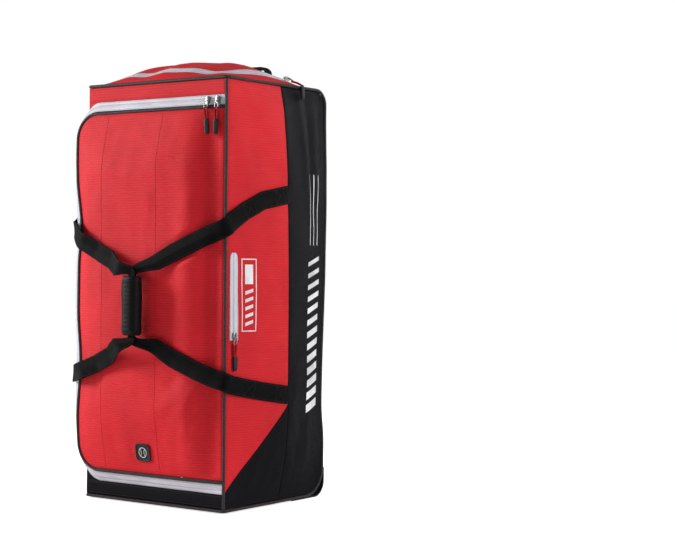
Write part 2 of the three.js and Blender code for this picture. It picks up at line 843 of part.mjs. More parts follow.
const baseRearY = housingFrontY - seamGap;
const basePanel = wall((u, v) => {
  const x = baseReach * rowAt(baseColumns, u);
  const front = -halfDepth + edgeInset;
  const flat = -halfDepth + baseRoll;
  const y = v < 0.5 ? lerp(baseRearY, flat, v * 2) : lerp(flat, front, v * 2 - 1);
  return new THREE.Vector3(x, y, baseLift(x, y));
}, baseColumns.length - 1, 4);
addPiece('base_panel', basePanel, finishes.redFabric);

// Pocket zip on the right side, above the lower strap, which has fallen by this share of its
// way from the wrap to the side where it passes the pocket
const strapFallAtPocket = 0.78;
const pocketZipY = -halfDepth + pocketZipFromFront;
const strapAtPocket = lerp(wrapBottom, strapLowerHeight, strapFallAtPocket);
const pocketZipBottom = strapAtPocket + pocketZipAboveStrap;
const pocketTape = wall((u, v) => {
  const narrow = v > 0.9 ? 0.72 : 1;
  const y = pocketZipY + pocketZipWidth * (u - 0.5) * narrow;
  const point = sidePoint(y, pocketZipBottom + pocketZipHeight * v);
  point.x += seamGap + zipTapeThickness;
  return point;
}, 2, 5, zipTapeThickness);
addPiece('pocket_zip_tape', pocketTape, finishes.zipTape);

// Straps
// A ribbon through stations, each with a middle point, the direction that it faces and a width.
// Its crosswise direction turns slowly, so that its inner edge never folds back in a bend.
const turnSpread = 2;

function ribbon(stations, steps) {
  const curve = new THREE.CatmullRomCurve3(stations.map((s) => s.point), false, 'centripetal');
  const last = stations.length - 1;
  const facing = stations.map((s) => s.face);
  const cuts = Array.from({ length: steps + 1 }, (unused, k) => {
    const t = k / steps;
    const i = Math.min(Math.floor(t * last), last - 1);
    const share = t * last - i;
    const along = curve.getTangent(t);
    const face = facing[i].clone().lerp(facing[i + 1], share).normalize();
    const across = along.clone().cross(face).normalize();
    const half = lerp(stations[i].width, stations[i + 1].width, share) / 2;
    return { point: curve.getPoint(t), along, across, half };
  });
  return loft(cuts.map(({ point, along, half }, k) => {
    const near = cuts.slice(Math.max(k - turnSpread, 0), k + turnSpread + 1);
    const across = near.reduce((sum, cut) => sum.add(cut.across), new THREE.Vector3()).normalize();
    const out = across.clone().cross(along).normalize();
    const thick = webbingThickness / 2;
    return [[-1, -1], [1, -1], [1, 1], [-1, 1]].map(([a, b]) => (
      point.clone().addScaledVector(across, a * half).addScaledVector(out, b * thick)
    ));
  }));
}

const strapOffset = webbingLift + webbingThickness / 2;
const wrapTop = wrapBottom + wrapHeight;
const wrapMiddle = wrapBottom + wrapHeight / 2;

function wrapY(z) {
  return lidY(handleX, z) - wrapStandOff - wrapDepth / 2;
}
const wrapCentreY = wrapY(wrapMiddle);
const gatheredWidth = wrapWidth - 2.4 * wrapWall;

// Where a strap lies between the seam on a side and the wrap. across is a share of the way
// from the front edge to the seam on a side, or of the half width on the lid. up, upLeft and
// down are shares of the way from the wrap to the strap's end: for both upper runs, the
// upper run on the left, which sags more, and both lower runs. lift is a share of the
// webbing's width.
const sideAndLidRows = [
  { on: 'side', across: 0.985, up: 1, upLeft: 1, down: 1, lift: 0, width: 1, stack: 0 },
  { on: 'side', across: 0.554, up: 0.913, upLeft: 0.94, down: 0.905, lift: 0, width: 1, stack: 0 },
  { on: 'side', across: 0.28, up: 0.78, upLeft: 0.82, down: 0.83, lift: 0.03, width: 1, stack: 0 },
  { on: 'side', across: 0.068, up: 0.655, upLeft: 0.68, down: 0.765, lift: 0.15, width: 1, stack: 0 },
  { on: 'edge', across: 1, up: 0.59, upLeft: 0.57, down: 0.72, lift: 0, width: 1, stack: 0 },
  { on: 'lid', across: 0.875, up: 0.51, upLeft: 0.42, down: 0.65, lift: 0.16, width: 1, stack: 0 },
  { on: 'lid', across: 0.667, up: 0.405, upLeft: 0.3, down: 0.52, lift: 0.05, width: 1, stack: 0 },
  { on: 'lid', across: 0.417, up: 0.28, upLeft: 0.19, down: 0.36, lift: 0.1, width: 1, stack: 0.6 },
  { on: 'lid', across: 0.208, up: 0.16, upLeft: 0.09, down: 0.17, lift: 0.3, width: 0.9, stack: 1 },
];

// How far a strap stands out at the front edge: shares of the webbing's width.
const edgeCrossing = {
  right: [{ out: 0.1, front: 0.12 }],
  left: [{ out: 0.62, front: 0.05 }, { out: 0.3, front: 0.46 }],
};

// The direction square to a surface at a place on it, on the side of a rough direction.
function surfaceNormal(pointAt, a, b, outward) {
  const step = 1;
  const first = pointAt(a + step, b).sub(pointAt(a - step, b));
  const second = pointAt(a, b + step).sub(pointAt(a, b - step));
  const normal = first.cross(second).normalize();
  return normal.dot(outward) < 0 ? normal.negate() : normal;
}

function lidPoint(x, z) {
  return new THREE.Vector3(x, lidY(x, z), z);
}

function strapStations(row, side, height) {
  const width = webbingWidth * row.width;
  const slack = side > 0 ? 1 : leftStrapSlack;
  const away = strapOffset + row.lift * webbingWidth * slack;
  if (row.on === 'side') {
    const y = row.across * colourSeamFromFront - halfDepth;
    const face = surfaceNormal(sidePoint, y, height, xAxis);
    const point = sidePoint(y, height).addScaledVector(face, away);
    point.x *= side;
    face.x *= side;
    return [{ point, face, width }];
  }
  if (row.on === 'edge') {
    const crossing = edgeCrossing[side > 0 ? 'right' : 'left'];
    const firstReach = side > 0 ? pipingRadius : tapeStart;
    return crossing.map(({ out, front }) => {
      const x = side * (halfWidth + firstReach + away + out * webbingWidth);
      const y = -halfDepth - away - front * webbingWidth;
      const face = new THREE.Vector3(side * (out + 0.1), -front - 0.1, 0).normalize();
      return { point: new THREE.Vector3(x, y, height), face, width };
    });
  }
  const x = side * row.across * halfWidth;
  const face = surfaceNormal(lidPoint, x, height, frontFacing);
  const point = lidPoint(x, height).addScaledVector(face, away);
  point.y += (row.stack * side * (webbingThickness + strapStackGap)) / 2;
  return [{ point, face, width }];
}

// Rows in between, so that the webbing keeps to the cloth under it.
function filledRows(rows) {
  return rows.flatMap((row, i) => {
    const next = rows[i + 1];
    if (!next || next.on !== row.on) return [row];
    const between = [1 / 3, 2 / 3].map((t) => {
      const mixed = { on: row.on };
      ['across', 'up', 'upLeft', 'down', 'lift', 'width', 'stack'].forEach((column) => {
        mixed[column] = lerp(row[column], next[column], t);
      });
      return mixed;
    });
    return [row, ...between];
  });
}

function strap(side) {
  const stack = (side * (webbingThickness + strapStackGap)) / 2;
  const ends = { top: wrapTop + wrapWall, bottom: wrapBottom - wrapWall };
  const inWrap = [ends.top, wrapTop - wrapWall, wrapMiddle, wrapBottom + wrapWall, ends.bottom];
  const passing = inWrap.map((z) => ({
    point: new THREE.Vector3(handleX, wrapCentreY + stack, z),
    face: new THREE.Vector3(0, -1, 0),
    width: gatheredWidth,
  }));
  const rows = filledRows(sideAndLidRows);
  const upper = rows.flatMap((row) => {
    const climb = side > 0 ? row.up : row.upLeft;
    return strapStations(row, side, lerp(wrapTop, strapUpperHeight, climb));
  });
  const lower = rows.flatMap((row) => (
    strapStations(row, side, lerp(wrapBottom, strapLowerHeight, row.down))
  ));
  return ribbon([...upper, ...passing, ...lower.reverse()], 64);
}
addPiece('strap_right', strap(1), finishes.webbing);
addPiece('strap_left', strap(-1), finishes.webbing);

// Padded wrap that joins the two straps into a handle, with its closing flap on the left
function wrapOval(width, depth, sides) {
  const shape = new THREE.Shape();
  for (let i = 0; i < sides; i += 1) {
    const angle = (2 * Math.PI * i) / sides;
    const x = (width / 2) * Math.sign(Math.cos(angle)) * Math.abs(Math.cos(angle)) ** 0.8;
    const y = (depth / 2) * Math.sign(Math.sin(angle)) * Math.abs(Math.sin(angle)) ** 0.8;
    if (i === 0) shape.moveTo(x, y);
    else shape.lineTo(x, y);
  }
  shape.closePath();
  return shape;
}

function wrapGeometry() {
  const bevel = wrapBevel;
  const outerShape = wrapOval(wrapWidth - 2 * bevel, wrapDepth - 2 * bevel, 16);
  const outer = new THREE.ExtrudeGeometry(outerShape, {
    depth: wrapHeight - 2 * bevel,
    bevelThickness: bevel,
    bevelSize: bevel,
    bevelSegments: 2,
  });
  outer.translate(0, 0, wrapBottom + bevel);
  const holeWidth = gatheredWidth + wrapWall;
  const hole = new THREE.BoxGeometry(holeWidth, wrapDepth - 2 * wrapWall, wrapHeight * 2);
  hole.translate(0, 0, wrapMiddle);
  const flapHeight = wrapHeight - 2 * wrapFlapInset;
  const flap = new THREE.BoxGeometry(wrapFlapWidth + wrapWall, wrapWall * 0.7, flapHeight);
  flap.translate(-(wrapWidth + wrapFlapWidth - wrapWall) / 2, wrapDepth / 5, wrapMiddle);
  const body = toSolid(outer).add(toSolid(flap)).subtract(toSolid(hole));
  const geometry = fromSolid(body);
  geometry.translate(handleX, wrapCentreY, 0);
  return geometry;
}
addPiece('handle_wrap', wrapGeometry(), finishes.webbing);

// Grab handle on the top: feet sewn to the cloth, legs and a bar
function grabHandle() {
  const y = halfDepth - grabFromBack;
  const half = grabSpan / 2;
  const away = seamGap + webbingThickness;
  const low = topZ(half, y);
  const rows = [
    { across: 1 + grabFoot / half, rise: 0, foot: 1 },
    { across: 1, rise: 0, foot: 1 },
    { across: 0.93, rise: 0.16, foot: 0.6 },
    { across: 0.86, rise: 0.78, foot: 0 },
    { across: 0.76, rise: 0.96, foot: 0 },
    { across: 0.3, rise: 1, foot: 0 },
  ];
  const run = [
    ...rows.map((row) => ({ ...row, side: -1 })),
    ...rows.map((row) => ({ ...row, side: 1 })).reverse(),
  ];
  const rings = run.map(({ across, rise, foot, side }, i) => {
    const x = side * across * half;
    const z = lerp(topZ(x, y), low, rise) + away + rise * grabHeight;
    const next = run[Math.min(i + 1, run.length - 1)];
    const before = run[Math.max(i - 1, 0)];
    const alongX = (next.side * next.across - before.side * before.across) * half;
    const along = new THREE.Vector3(alongX, 0, (next.rise - before.rise) * grabHeight).normalize();
    const up = along.clone().cross(yAxis);
    return [[-1, -1], [1, -1], [1, 1], [-1, 1]].map(([a, b]) => {
      const edgeY = y + (a * grabWidth) / 2;
      const seat = foot * (topZ(x, edgeY) - topZ(x, y));
      const middle = new THREE.Vector3(x, edgeY, z + seat);
      return middle.addScaledVector(up, (b * webbingThickness) / 2);
    });
  });
  return loft(rings);
}
addPiece('grab_handle', grabHandle(), finishes.webbing);

// Badge on the lid
const badge = wall((u, v) => {
  const x = handleX + badgeWidth * (u - 0.5);
  const z = badgeBottom + badgeHeight * v;
  return new THREE.Vector3(x, lidY(x, z) - seamGap - badgeThickness, z);
}, 2, 2, badgeThickness);
addPiece('badge', badge, finishes.rubber);

// Skid rails with a raised face, tapered to the back panel at each end
const railBaseY = halfDepth + railStart;

function rail(middleX) {
  const stations = [
    { z: railBottom, rise: 0.2 },
    { z: railBottom + railEndTaper, rise: 1 },
    { z: railTop - railEndTaper, rise: 1 },
    { z: railTop, rise: 0.2 },
  ];
  return loft(stations.map(({ z, rise }) => {
    const faceHalf = railFaceWidth / 2;
    const footHalf = lerp(faceHalf, railFootWidth / 2, rise);
    const out = railBaseY + railDepth * rise;
    return [
      new THREE.Vector3(middleX - footHalf, railBaseY, z),
      new THREE.Vector3(middleX + footHalf, railBaseY, z),
      new THREE.Vector3(middleX + faceHalf, out, z),
      new THREE.Vector3(middleX - faceHalf, out, z),
    ];
  }));
}

function screwHead(x, y, z) {
  const profile = [
    new THREE.Vector2(0, 0),
    new THREE.Vector2(screwRadius, 0),
    new THREE.Vector2(screwRadius * 0.85, screwHeight * 0.7),
    new THREE.Vector2(0, screwHeight),
  ];
  const geometry = mergeVertices(barePoints(new THREE.LatheGeometry(profile, 10)), 1e-4);
  geometry.translate(x, y, z);
  return geometry;
}

// Keeps only the points of a geometry, so that shared corners can merge.
function barePoints(geometry) {
  geometry.deleteAttribute('normal');
  geometry.deleteAttribute('uv');
  return geometry;
}

['left', 'right'].forEach((name) => {
  const side = name === 'right' ? 1 : -1;
  const railX = (side * railSpacing) / 2;
  addPiece(`skid_rail_${name}`, rail(railX), finishes.plastic);
  railScrewShares.forEach((share, i) => {
    const z = lerp(railBottom, railTop, share);
    const faceY = railBaseY + railDepth + seamGap;
    addPiece(`rail_screw_${name}_${i + 1}`, screwHead(railX, faceY, z), finishes.metal);
  });
});

// Wheel housings: a plastic shell round the back corner with a well for the wheel.
// It is open to the bag, so its hollow runs out through the front and the top.
function housingOutline(inset) {
  const plate = housingPlateY - inset;
  const guard = housingGuardY - inset;
  const radius = housingCornerRadius - inset;
  const stepTop = housingGuardHeight + housingGuardOut;
  const openEnd = inset > 0 ? housingFootLength / 2 : 0;
  const shape = new THREE.Shape();
  shape.moveTo(housingFrontY - openEnd, inset);
  shape.lineTo(guard - radius, inset);
  shape.absarc(guard - radius, inset + radius, radius, -Math.PI / 2, 0, false);
  shape.lineTo(guard, housingGuardHeight - inset / 2);
  shape.lineTo(plate, stepTop - inset / 2);
  shape.lineTo(plate, housingHeight + openEnd);
  shape.lineTo(housingFrontY - openEnd, housingHeight + openEnd);
  shape.closePath();
  return shape;
}

function disc(radius, fromX, toX, sides) {
  const geometry = new THREE.CylinderGeometry(radius, radius, toX - fromX, sides);
  geometry.rotateZ(Math.PI / 2);
  geometry.translate((fromX + toX) / 2, axleY, axleZ);
  return geometry;
}

function housing() {
  const outer = toSolid(extrudeAlongX(housingOutline(0), housingInnerX, housingOuterX));
  const hollowFrom = housingInnerX - 1;
  const hollow = toSolid(extrudeAlongX(housingOutline(housingWall), hollowFrom, housingOuterX + 1));
  const slotFrom = housingMiddleX - wheelSlot / 2;
  const slotTo = housingMiddleX + wheelSlot / 2;
  const wellRadius = wheelRadius + wheelRimClearance;
  const wellOuter = disc(wellRadius + housingWall, slotFrom - housingWall, slotTo + housingWall, wellSides);
  const well = toSolid(wellOuter).intersect(outer);
  const pin = disc(axleRadius + axleFit, housingInnerX, housingOuterX, axleSides);
  let shell = outer.subtract(hollow).add(well);
  shell = shell.subtract(toSolid(disc(wellRadius, slotFrom, slotTo, wellSides)));
  shell = shell.subtract(toSolid(pin));
  ventHoleHeights.forEach((z) => {
    const length = 2 * (housingGuardOut + housingWall);
    const hole = new THREE.CylinderGeometry(ventHoleRadius, ventHoleRadius, length, 8);
    hole.translate(housingOuterX - ventHoleInset, housingGuardY, z);
    shell = shell.subtract(toSolid(hole));
  });
  return fromSolid(shell);
}

function wheel(middleX) {
  const half = wheelWidth / 2;
  const bore = axleRadius + axleFit;
  const rim = wheelRadius;
  const profile = [
    [bore, -half],
    [rim * 0.36, -half],
    [rim * 0.42, -half * 0.7],
    [rim * 0.74, -half * 0.7],
    [rim * 0.79, -half * 0.95],
    [rim * 0.93, -half * 0.9],
    [rim, -half * 0.5],
    [rim, half * 0.5],
    [rim * 0.93, half * 0.9],
    [rim * 0.79, half * 0.95],
    [rim * 0.74, half * 0.7],
    [rim * 0.42, half * 0.7],
    [rim * 0.36, half],
    [bore, half],
    [bore, -half],
  ].map(([r, x]) => new THREE.Vector2(r, x));
  const lathe = barePoints(new THREE.LatheGeometry(profile, wheelSides));
  const geometry = faceOutwards(mergeVertices(lathe, 1e-4));
  geometry.rotateZ(-Math.PI / 2);
  geometry.translate(middleX, axleY, axleZ);
  return geometry;
}

function axle(middleX) {
  const reach = wheelSlot / 2 + housingWall + axleEnd;
  const pin = disc(axleRadius, middleX - reach, middleX + reach, axleSides);
  return mergeVertices(barePoints(pin), 1e-4);
}

const housingGeometry = housing();
['left', 'right'].forEach((name) => {
  const side = name === 'right' ? 1 : -1;
  const shell = side > 0 ? housingGeometry : mirrored(housingGeometry);
  const middleX = side * housingMiddleX;
  addPiece(`wheel_housing_${name}`, shell, finishes.plastic);
  addPiece(`wheel_${name}`, wheel(middleX), finishes.rubber);
  addPiece(`axle_${name}`, axle(middleX), finishes.metal);
  [-1, 1].forEach((end, i) => {
    const x = middleX + end * (housingWidth / 2 - housingScrewInset);
    const head = screwHead(x, housingPlateY + seamGap, housingHeight - 2 * screwRadius);
    addPiece(`housing_screw_${name}_${i + 1}`, head, finishes.metal);
  });
});

// Zip sliders, each with a cord loop and a moulded tip
// A pull hangs from top to bottom in local X and Z and stands off the cloth along -Y.
function slider() {
  const shape = new THREE.Shape();
  const half = sliderWidth / 2;
  shape.moveTo(-half * 0.7, 0);
  shape.lineTo(half * 0.7, 0);
  shape.lineTo(half, -sliderHeight * 0.45);
  shape.lineTo(half * 0.6, -sliderHeight);
  shape.lineTo(-half * 0.6, -sliderHeight);
  shape.lineTo(-half, -sliderHeight * 0.45);
  shape.closePath();
  const plate = new THREE.ExtrudeGeometry(shape, { depth: sliderDepth, bevelEnabled: false });
  plate.rotateX(Math.PI / 2);
  return mergeVertices(barePoints(plate), 1e-4);
}

function cordLoop() {
  const half = pullCordWidth / 2 - pullCordRadius;
  const top = -pullCordRadius;
  const bottom = -pullCordLength + pullCordRadius;
  const path = [
    [0, top],
    [half * 0.8, top - half * 0.5],
    [half, top - half * 2],
    [half, bottom + half * 2],
    [half * 0.8, bottom + half * 0.5],
    [0, bottom],
    [-half * 0.8, bottom + half * 0.5],
    [-half, bottom + half * 2],
    [-half, top - half * 2],
    [-half * 0.8, top - half * 0.5],
  ].map(([x, z]) => new THREE.Vector3(x, 0, z));
  return roundCord(path, pullCordRadius, yAxis, true);
}

function pullTip() {
  const half = pullTipWidth / 2;
  const rows = [
    { z: 0, wide: 0.7, deep: 0.7 },
    { z: -pullTipLength * 0.12, wide: 1, deep: 1 },
    { z: -pullTipLength * 0.88, wide: 0.9, deep: 0.9 },
    { z: -pullTipLength, wide: 0.6, deep: 0.6 },
  ];
  return loft(rows.map(({ z, wide, deep }) => {
    const [x, y] = [half * wide, (pullTipDepth / 2) * deep];
    const ring = [[-1, -0.5], [-0.6, -1], [0.6, -1], [1, -0.5], [1, 0.5], [0.6, 1], [-0.6, 1], [-1, 0.5]];
    return ring.map(([a, b]) => new THREE.Vector3(a * x, b * y, z));
  }));
}

// Puts a piece with its top at a point, pointing down and with its face out.
function placed(geometry, { at, down, out }) {
  const back = down.clone().normalize().negate();
  const face = out.clone().addScaledVector(back, -out.dot(back)).normalize().negate();
  geometry.applyMatrix4(new THREE.Matrix4().makeBasis(face.clone().cross(back), face, back));
  geometry.translate(at.x, at.y, at.z);
  return geometry;
}

// A pull is a slider on its tape, then a cord and a tip that follow three points.
function addPull(name, seat, cordTop, tipTop, tipEnd, out) {
  addPiece(`${name}_slider`, placed(slider(), seat), finishes.metal);
  const cordPlace = { at: cordTop, down: tipTop.clone().sub(cordTop), out: seat.out };
  addPiece(`${name}_cord`, placed(cordLoop(), cordPlace), finishes.cord);
  const tipPlace = { at: tipTop, down: tipEnd.clone().sub(tipTop), out };
  addPiece(`${name}_tip`, placed(pullTip(), tipPlace), finishes.rubber);
}

const sliderStand = 2 * seamGap;
const cordStand = pullCordRadius + 2 * seamGap;
const tipStand = pullTipDepth / 2 + 3 * seamGap;
const cordSpan = pullCordLength + seamGap;
const lidPulls = [
  { name: 'lid_pull_1', fromRight: 42, lean: 0.08 },
  { name: 'lid_pull_2', fromRight: 17, lean: -0.04 },
];
lidPulls.forEach(({ name, fromRight, lean }) => {
  const x = lidRightX - fromRight;
  const lidRimY = lidY(x, lidTop);
  const low = new THREE.Vector3(x, lidRimY + cloth, lidTop + tapeStart);
  const high = new THREE.Vector3(x, -halfDepth, lidTop + tapeStart + zipTapeWidth);
  const down = low.clone().sub(high).normalize();
  const out = down.clone().cross(xAxis);
  if (out.y > 0) out.negate();
  const at = low.clone().addScaledVector(down, -sliderHeight - 1);
  at.addScaledVector(out, sliderStand);
  const sliderEnd = at.clone().addScaledVector(down, sliderHeight + seamGap);
  const cordY = lidRimY + cloth / 2 - pipingRadius - cordStand;
  const cordTop = new THREE.Vector3(x, cordY, sliderEnd.z);
  const besideLid = (drop, stand) => {
    const place = [x + lean * drop, cordTop.z - drop];
    const face = surfaceNormal(lidPoint, ...place, frontFacing);
    return { face, point: lidPoint(...place).addScaledVector(face, stand) };
  };
  const tipTop = besideLid(cordSpan, tipStand);
  const tipEnd = besideLid(cordSpan + pullTipLength, tipStand);
  addPull(name, { at, down, out }, cordTop, tipTop.point, tipEnd.point, tipEnd.face);
});

// The pocket's pull hangs down its side.
function besidePocket(drop, stand) {
  const place = [pocketZipY + 0.05 * drop, pocketZipBottom + sliderHeight - drop];
  const face = surfaceNormal(sidePoint, ...place, xAxis);
  return { face, point: sidePoint(...place).addScaledVector(face, stand) };
}
const pocketTop = besidePocket(0, zipTapeThickness + seamGap + sliderStand);
const pocketSeat = {
  at: pocketTop.point,
  down: besidePocket(sliderHeight, 0).point.sub(besidePocket(0, 0).point),
  out: pocketTop.face,
};
const pocketCordDrop = sliderHeight + seamGap;
const pocketTipDrop = pocketCordDrop + cordSpan;
addPull(
  'pocket_pull',
  pocketSeat,
  besidePocket(pocketCordDrop, zipTapeThickness + cordStand).point,
  besidePocket(pocketTipDrop, tipStand).point,
  besidePocket(pocketTipDrop + pullTipLength, tipStand).point,
  besidePocket(pocketTipDrop, 0).face,
);

// The pull of the top zip lies over the rim of the top and hangs on the side.
const topPullY = topZipRearY - sliderHeight;
const overRim = pipingRadius + tipStand + 4 * seamGap;
const rimLean = THREE.MathUtils.degToRad(36);
const rimPoint = new THREE.Vector3(
  halfWidth + overRim * Math.cos(rimLean),
  topPullY + pullTipWidth / 4,
  bodyHeight + overRim * Math.sin(rimLean),
);
const rimDrop = rimPoint.z - topZ(rimPoint.x - cordSpan, topPullY) - cordStand;
const towardsRim = new THREE.Vector3(cordSpan, 0, rimDrop).normalize();
const topCord = rimPoint.clone().addScaledVector(towardsRim, -cordSpan);
const sliderEndX = topCord.x - seamGap;
const sliderStart = topPoint(sliderEndX - sliderHeight, topPullY);
const topFace = surfaceNormal(topPoint, sliderEndX - sliderHeight / 2, topPullY, zAxis);
const topSeat = {
  at: sliderStart.clone().addScaledVector(topFace, sliderStand),
  down: topPoint(sliderEndX, topPullY).sub(sliderStart),
  out: topFace,
};
const topTip = rimPoint.clone().addScaledVector(towardsRim, pullCordRadius + 3 * seamGap);
const topTipEnd = sidePoint(topTip.y + pullTipWidth, topTip.z - pullTipLength);
topTipEnd.x += tipStand;
addPull('top_pull', topSeat, topCord, topTip, topTipEnd, xAxis);

export default bag;
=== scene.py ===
import math

import bmesh
import bpy
import numpy as np
from mathutils import Matrix, Vector


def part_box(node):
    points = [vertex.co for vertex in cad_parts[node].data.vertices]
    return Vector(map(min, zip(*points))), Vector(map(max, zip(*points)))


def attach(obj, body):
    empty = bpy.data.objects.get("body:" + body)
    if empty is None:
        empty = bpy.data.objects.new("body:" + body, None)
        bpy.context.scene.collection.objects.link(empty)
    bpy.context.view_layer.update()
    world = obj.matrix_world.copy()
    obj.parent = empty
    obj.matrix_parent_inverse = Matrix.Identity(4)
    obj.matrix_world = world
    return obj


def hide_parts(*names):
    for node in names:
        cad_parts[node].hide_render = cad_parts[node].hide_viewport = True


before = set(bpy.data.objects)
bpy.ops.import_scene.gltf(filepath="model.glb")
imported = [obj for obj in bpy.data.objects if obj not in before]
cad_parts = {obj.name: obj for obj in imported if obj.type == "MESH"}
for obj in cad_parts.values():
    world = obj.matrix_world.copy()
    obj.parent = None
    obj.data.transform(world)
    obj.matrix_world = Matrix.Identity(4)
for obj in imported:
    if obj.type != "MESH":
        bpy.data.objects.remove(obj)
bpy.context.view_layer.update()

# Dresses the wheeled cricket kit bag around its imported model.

# Lengths are in millimetres up to the moment that a mesh is made.
MM = 0.001
TURN = 2 * math.pi


def box_mm(node):
    low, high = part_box(node)
    return np.array(low) / MM, np.array(high) / MM


# Sizes that the frame gives
EDGE_INSET = 3.5
SEAM_GAP = 0.3
CLOTH = 2.5
lid_low, lid_high = box_mm("lid_panel")
LID_BOTTOM, LID_TOP = lid_low[2], lid_high[2]
HALF_WIDTH = lid_high[0] + EDGE_INSET
HALF_DEPTH = -box_mm("front_top_band")[0][1]
BODY_HEIGHT = box_mm("side_right_front")[1][2] + EDGE_INSET
TOP_DOME = box_mm("top_flap")[1][2] - BODY_HEIGHT
BASE_RISE = box_mm("front_bottom_band")[0][2] - EDGE_INSET
BODY_DEPTH = 2 * HALF_DEPTH
PIPING = 3.2

# Sizes of the sewn body
COLOUR_SEAM_Y = 177 - HALF_DEPTH
DIAGONAL_FRONT = 38
DIAGONAL_BACK = 212
SIDE_BULGE = 28
TOP_BACK_RADIUS = 32
BOTTOM_BACK_RADIUS = 58
BACK_WAIST = 8
BASE_ROLL = 26
LID_PUFF = 26
LID_RIM_STAND = 9
LID_LEFT_REACH = 18
LID_CORNER = 50
ZIP_TAPE = 1.6
ZIP_TAPE_WIDTH = 20
TAPE_BELLY = 8
TAPE_START = 2 * EDGE_INSET + 2 * SEAM_GAP
TOP_ZIP_INSET = 27
TOP_ZIP_CORNER = 46
TOP_ZIP_REAR_Y = box_mm("top_flap")[1][1]
HANDLE_X = -8


def smooth_table(*rows):
    """A smooth reading of (at, value) rows, with no overshoot."""
    x, y = np.array(rows, float).T
    rise = np.diff(y) / np.diff(x)
    slope = np.empty_like(y)
    slope[0], slope[-1] = rise[0], rise[-1]
    product = rise[:-1] * rise[1:]
    total = np.where(product > 0, rise[:-1] + rise[1:], 1)
    slope[1:-1] = np.where(product > 0, 2 * product / total, 0)

    def read(value):
        at = np.clip(value, x[0], x[-1])
        i = np.clip(np.searchsorted(x, at, side="right") - 1, 0, len(x) - 2)
        width = x[i + 1] - x[i]
        t = (at - x[i]) / width
        start = (2 * t**3 - 3 * t**2 + 1) * y[i] + (t**3 - 2 * t**2 + t) * width * slope[i]
        return start + (3 * t**2 - 2 * t**3) * y[i + 1] + (t**3 - t**2) * width * slope[i + 1]

    return read


def lerp(a, b, t):
    return a + (b - a) * t


def smoothstep(value, low, high):
    t = np.clip((value - low) / (high - low), 0, 1)
    return t * t * (3 - 2 * t)


# Swelling of the body, as shares of its height, depth and width
side_swell_by_height = smooth_table(
    (0, 0), (0.035, 0.24), (0.14, 0.84), (0.24, 1), (0.49, 0.98),
    (0.77, 0.79), (0.93, 0.42), (0.98, 0.12), (1, 0),
)
side_swell_by_depth = smooth_table(
    (0, 0), (0.12, 0.3), (0.3, 0.74), (0.53, 1), (0.76, 0.66), (0.92, 0.24), (1, 0.04)
)
waist_by_height = smooth_table(
    (0, 0), (0.14, 0), (0.23, -1), (0.36, -0.7), (0.55, 0.2), (0.76, 0.5), (0.94, 0), (1, 0)
)
top_swell_by_width = smooth_table((0, 1), (0.45, 0.9), (0.72, 0.62), (0.9, 0.26), (1, 0.02))
top_swell_by_depth = smooth_table(
    (0, 0.04), (0.08, 0.46), (0.25, 0.86), (0.45, 1), (0.7, 0.72), (0.86, 0.24), (0.96, 0.03), (1, 0)
)
lid_reach_by_height = smooth_table(
    (0, 0.35), (0.12, 0.62), (0.3, 0.1), (0.45, 0.55), (0.57, 0.5),
    (0.68, 0.08), (0.82, 0.8), (0.94, 1), (1, 0.9),
)
lid_puff_across = smooth_table(
    (0, 0), (0.12, 0.5), (0.3, 0.9), (0.5, 1), (0.75, 0.95), (0.9, 0.68), (1, 0.25)
)
lid_puff_up = smooth_table(
    (0, 0.12), (0.07, 0.5), (0.2, 0.96), (0.5, 0.92), (0.82, 1), (0.94, 0.5), (1, 0.1)
)
lid_rim_share = smooth_table((0, 0), (0.16, 0.75), (0.4, 1), (1, 1))


def stacked(x, y, z):
    return np.stack(np.broadcast_arrays(x, y, z), -1).astype(float)


def unit(vectors):
    vectors = np.asarray(vectors, float)
    return vectors / np.maximum(np.linalg.norm(vectors, axis=-1, keepdims=True), 1e-9)


def lengths_along(path):
    """Distance from the start of a path to each of its points."""
    return np.concatenate([[0], np.cumsum(np.linalg.norm(np.diff(path, axis=0), axis=1))])


def read_at(places, length, values):
    """Vectors given at lengths along a path, read at other places on it."""
    return np.stack([np.interp(places, length, values[:, k]) for k in range(3)], -1)


def waist(x, y, z):
    near_side = smoothstep(np.abs(x) / HALF_WIDTH, 0.86, 1)
    near_back = np.clip(y / HALF_DEPTH, 0, 1)
    return BACK_WAIST * waist_by_height(z / BODY_HEIGHT) * near_side * near_back


def side_point(y, z):
    """A point of the right side."""
    by_depth = side_swell_by_depth((y + HALF_DEPTH) / BODY_DEPTH)
    swell = SIDE_BULGE * by_depth * side_swell_by_height(z / BODY_HEIGHT)
    return stacked(HALF_WIDTH + swell, y + waist(HALF_WIDTH, y, z), z)


# Waves of the slack: height, length and start
TOP_WAVES = ((2.2, 157, 0.6), (1.0, 83, 2.2))
TOP_SAG = 3.6


def top_wave(x, y):
    """Slack in the front of the top: the zip sags between places where it is held up."""
    depth = y + HALF_DEPTH
    near_front = smoothstep(depth, 4, 26) * (1 - smoothstep(depth, 50, 130))
    near_middle = 1 - smoothstep(np.abs(x), 0.8 * HALF_WIDTH, 0.97 * HALF_WIDTH)
    waves = sum(height * np.sin(TURN * x / length + start) for height, length, start in TOP_WAVES)
    return near_front * near_middle * (waves - TOP_SAG)


def top_point(x, y):
    by_depth = top_swell_by_depth((y + HALF_DEPTH) / BODY_DEPTH)
    dome = TOP_DOME * by_depth * top_swell_by_width(np.abs(x) / HALF_WIDTH)
    return stacked(x, y, BODY_HEIGHT + dome + top_wave(x, y))


def lid_left(z):
    return -HALF_WIDTH - LID_LEFT_REACH * lid_reach_by_height((z - LID_BOTTOM) / (LID_TOP - LID_BOTTOM))


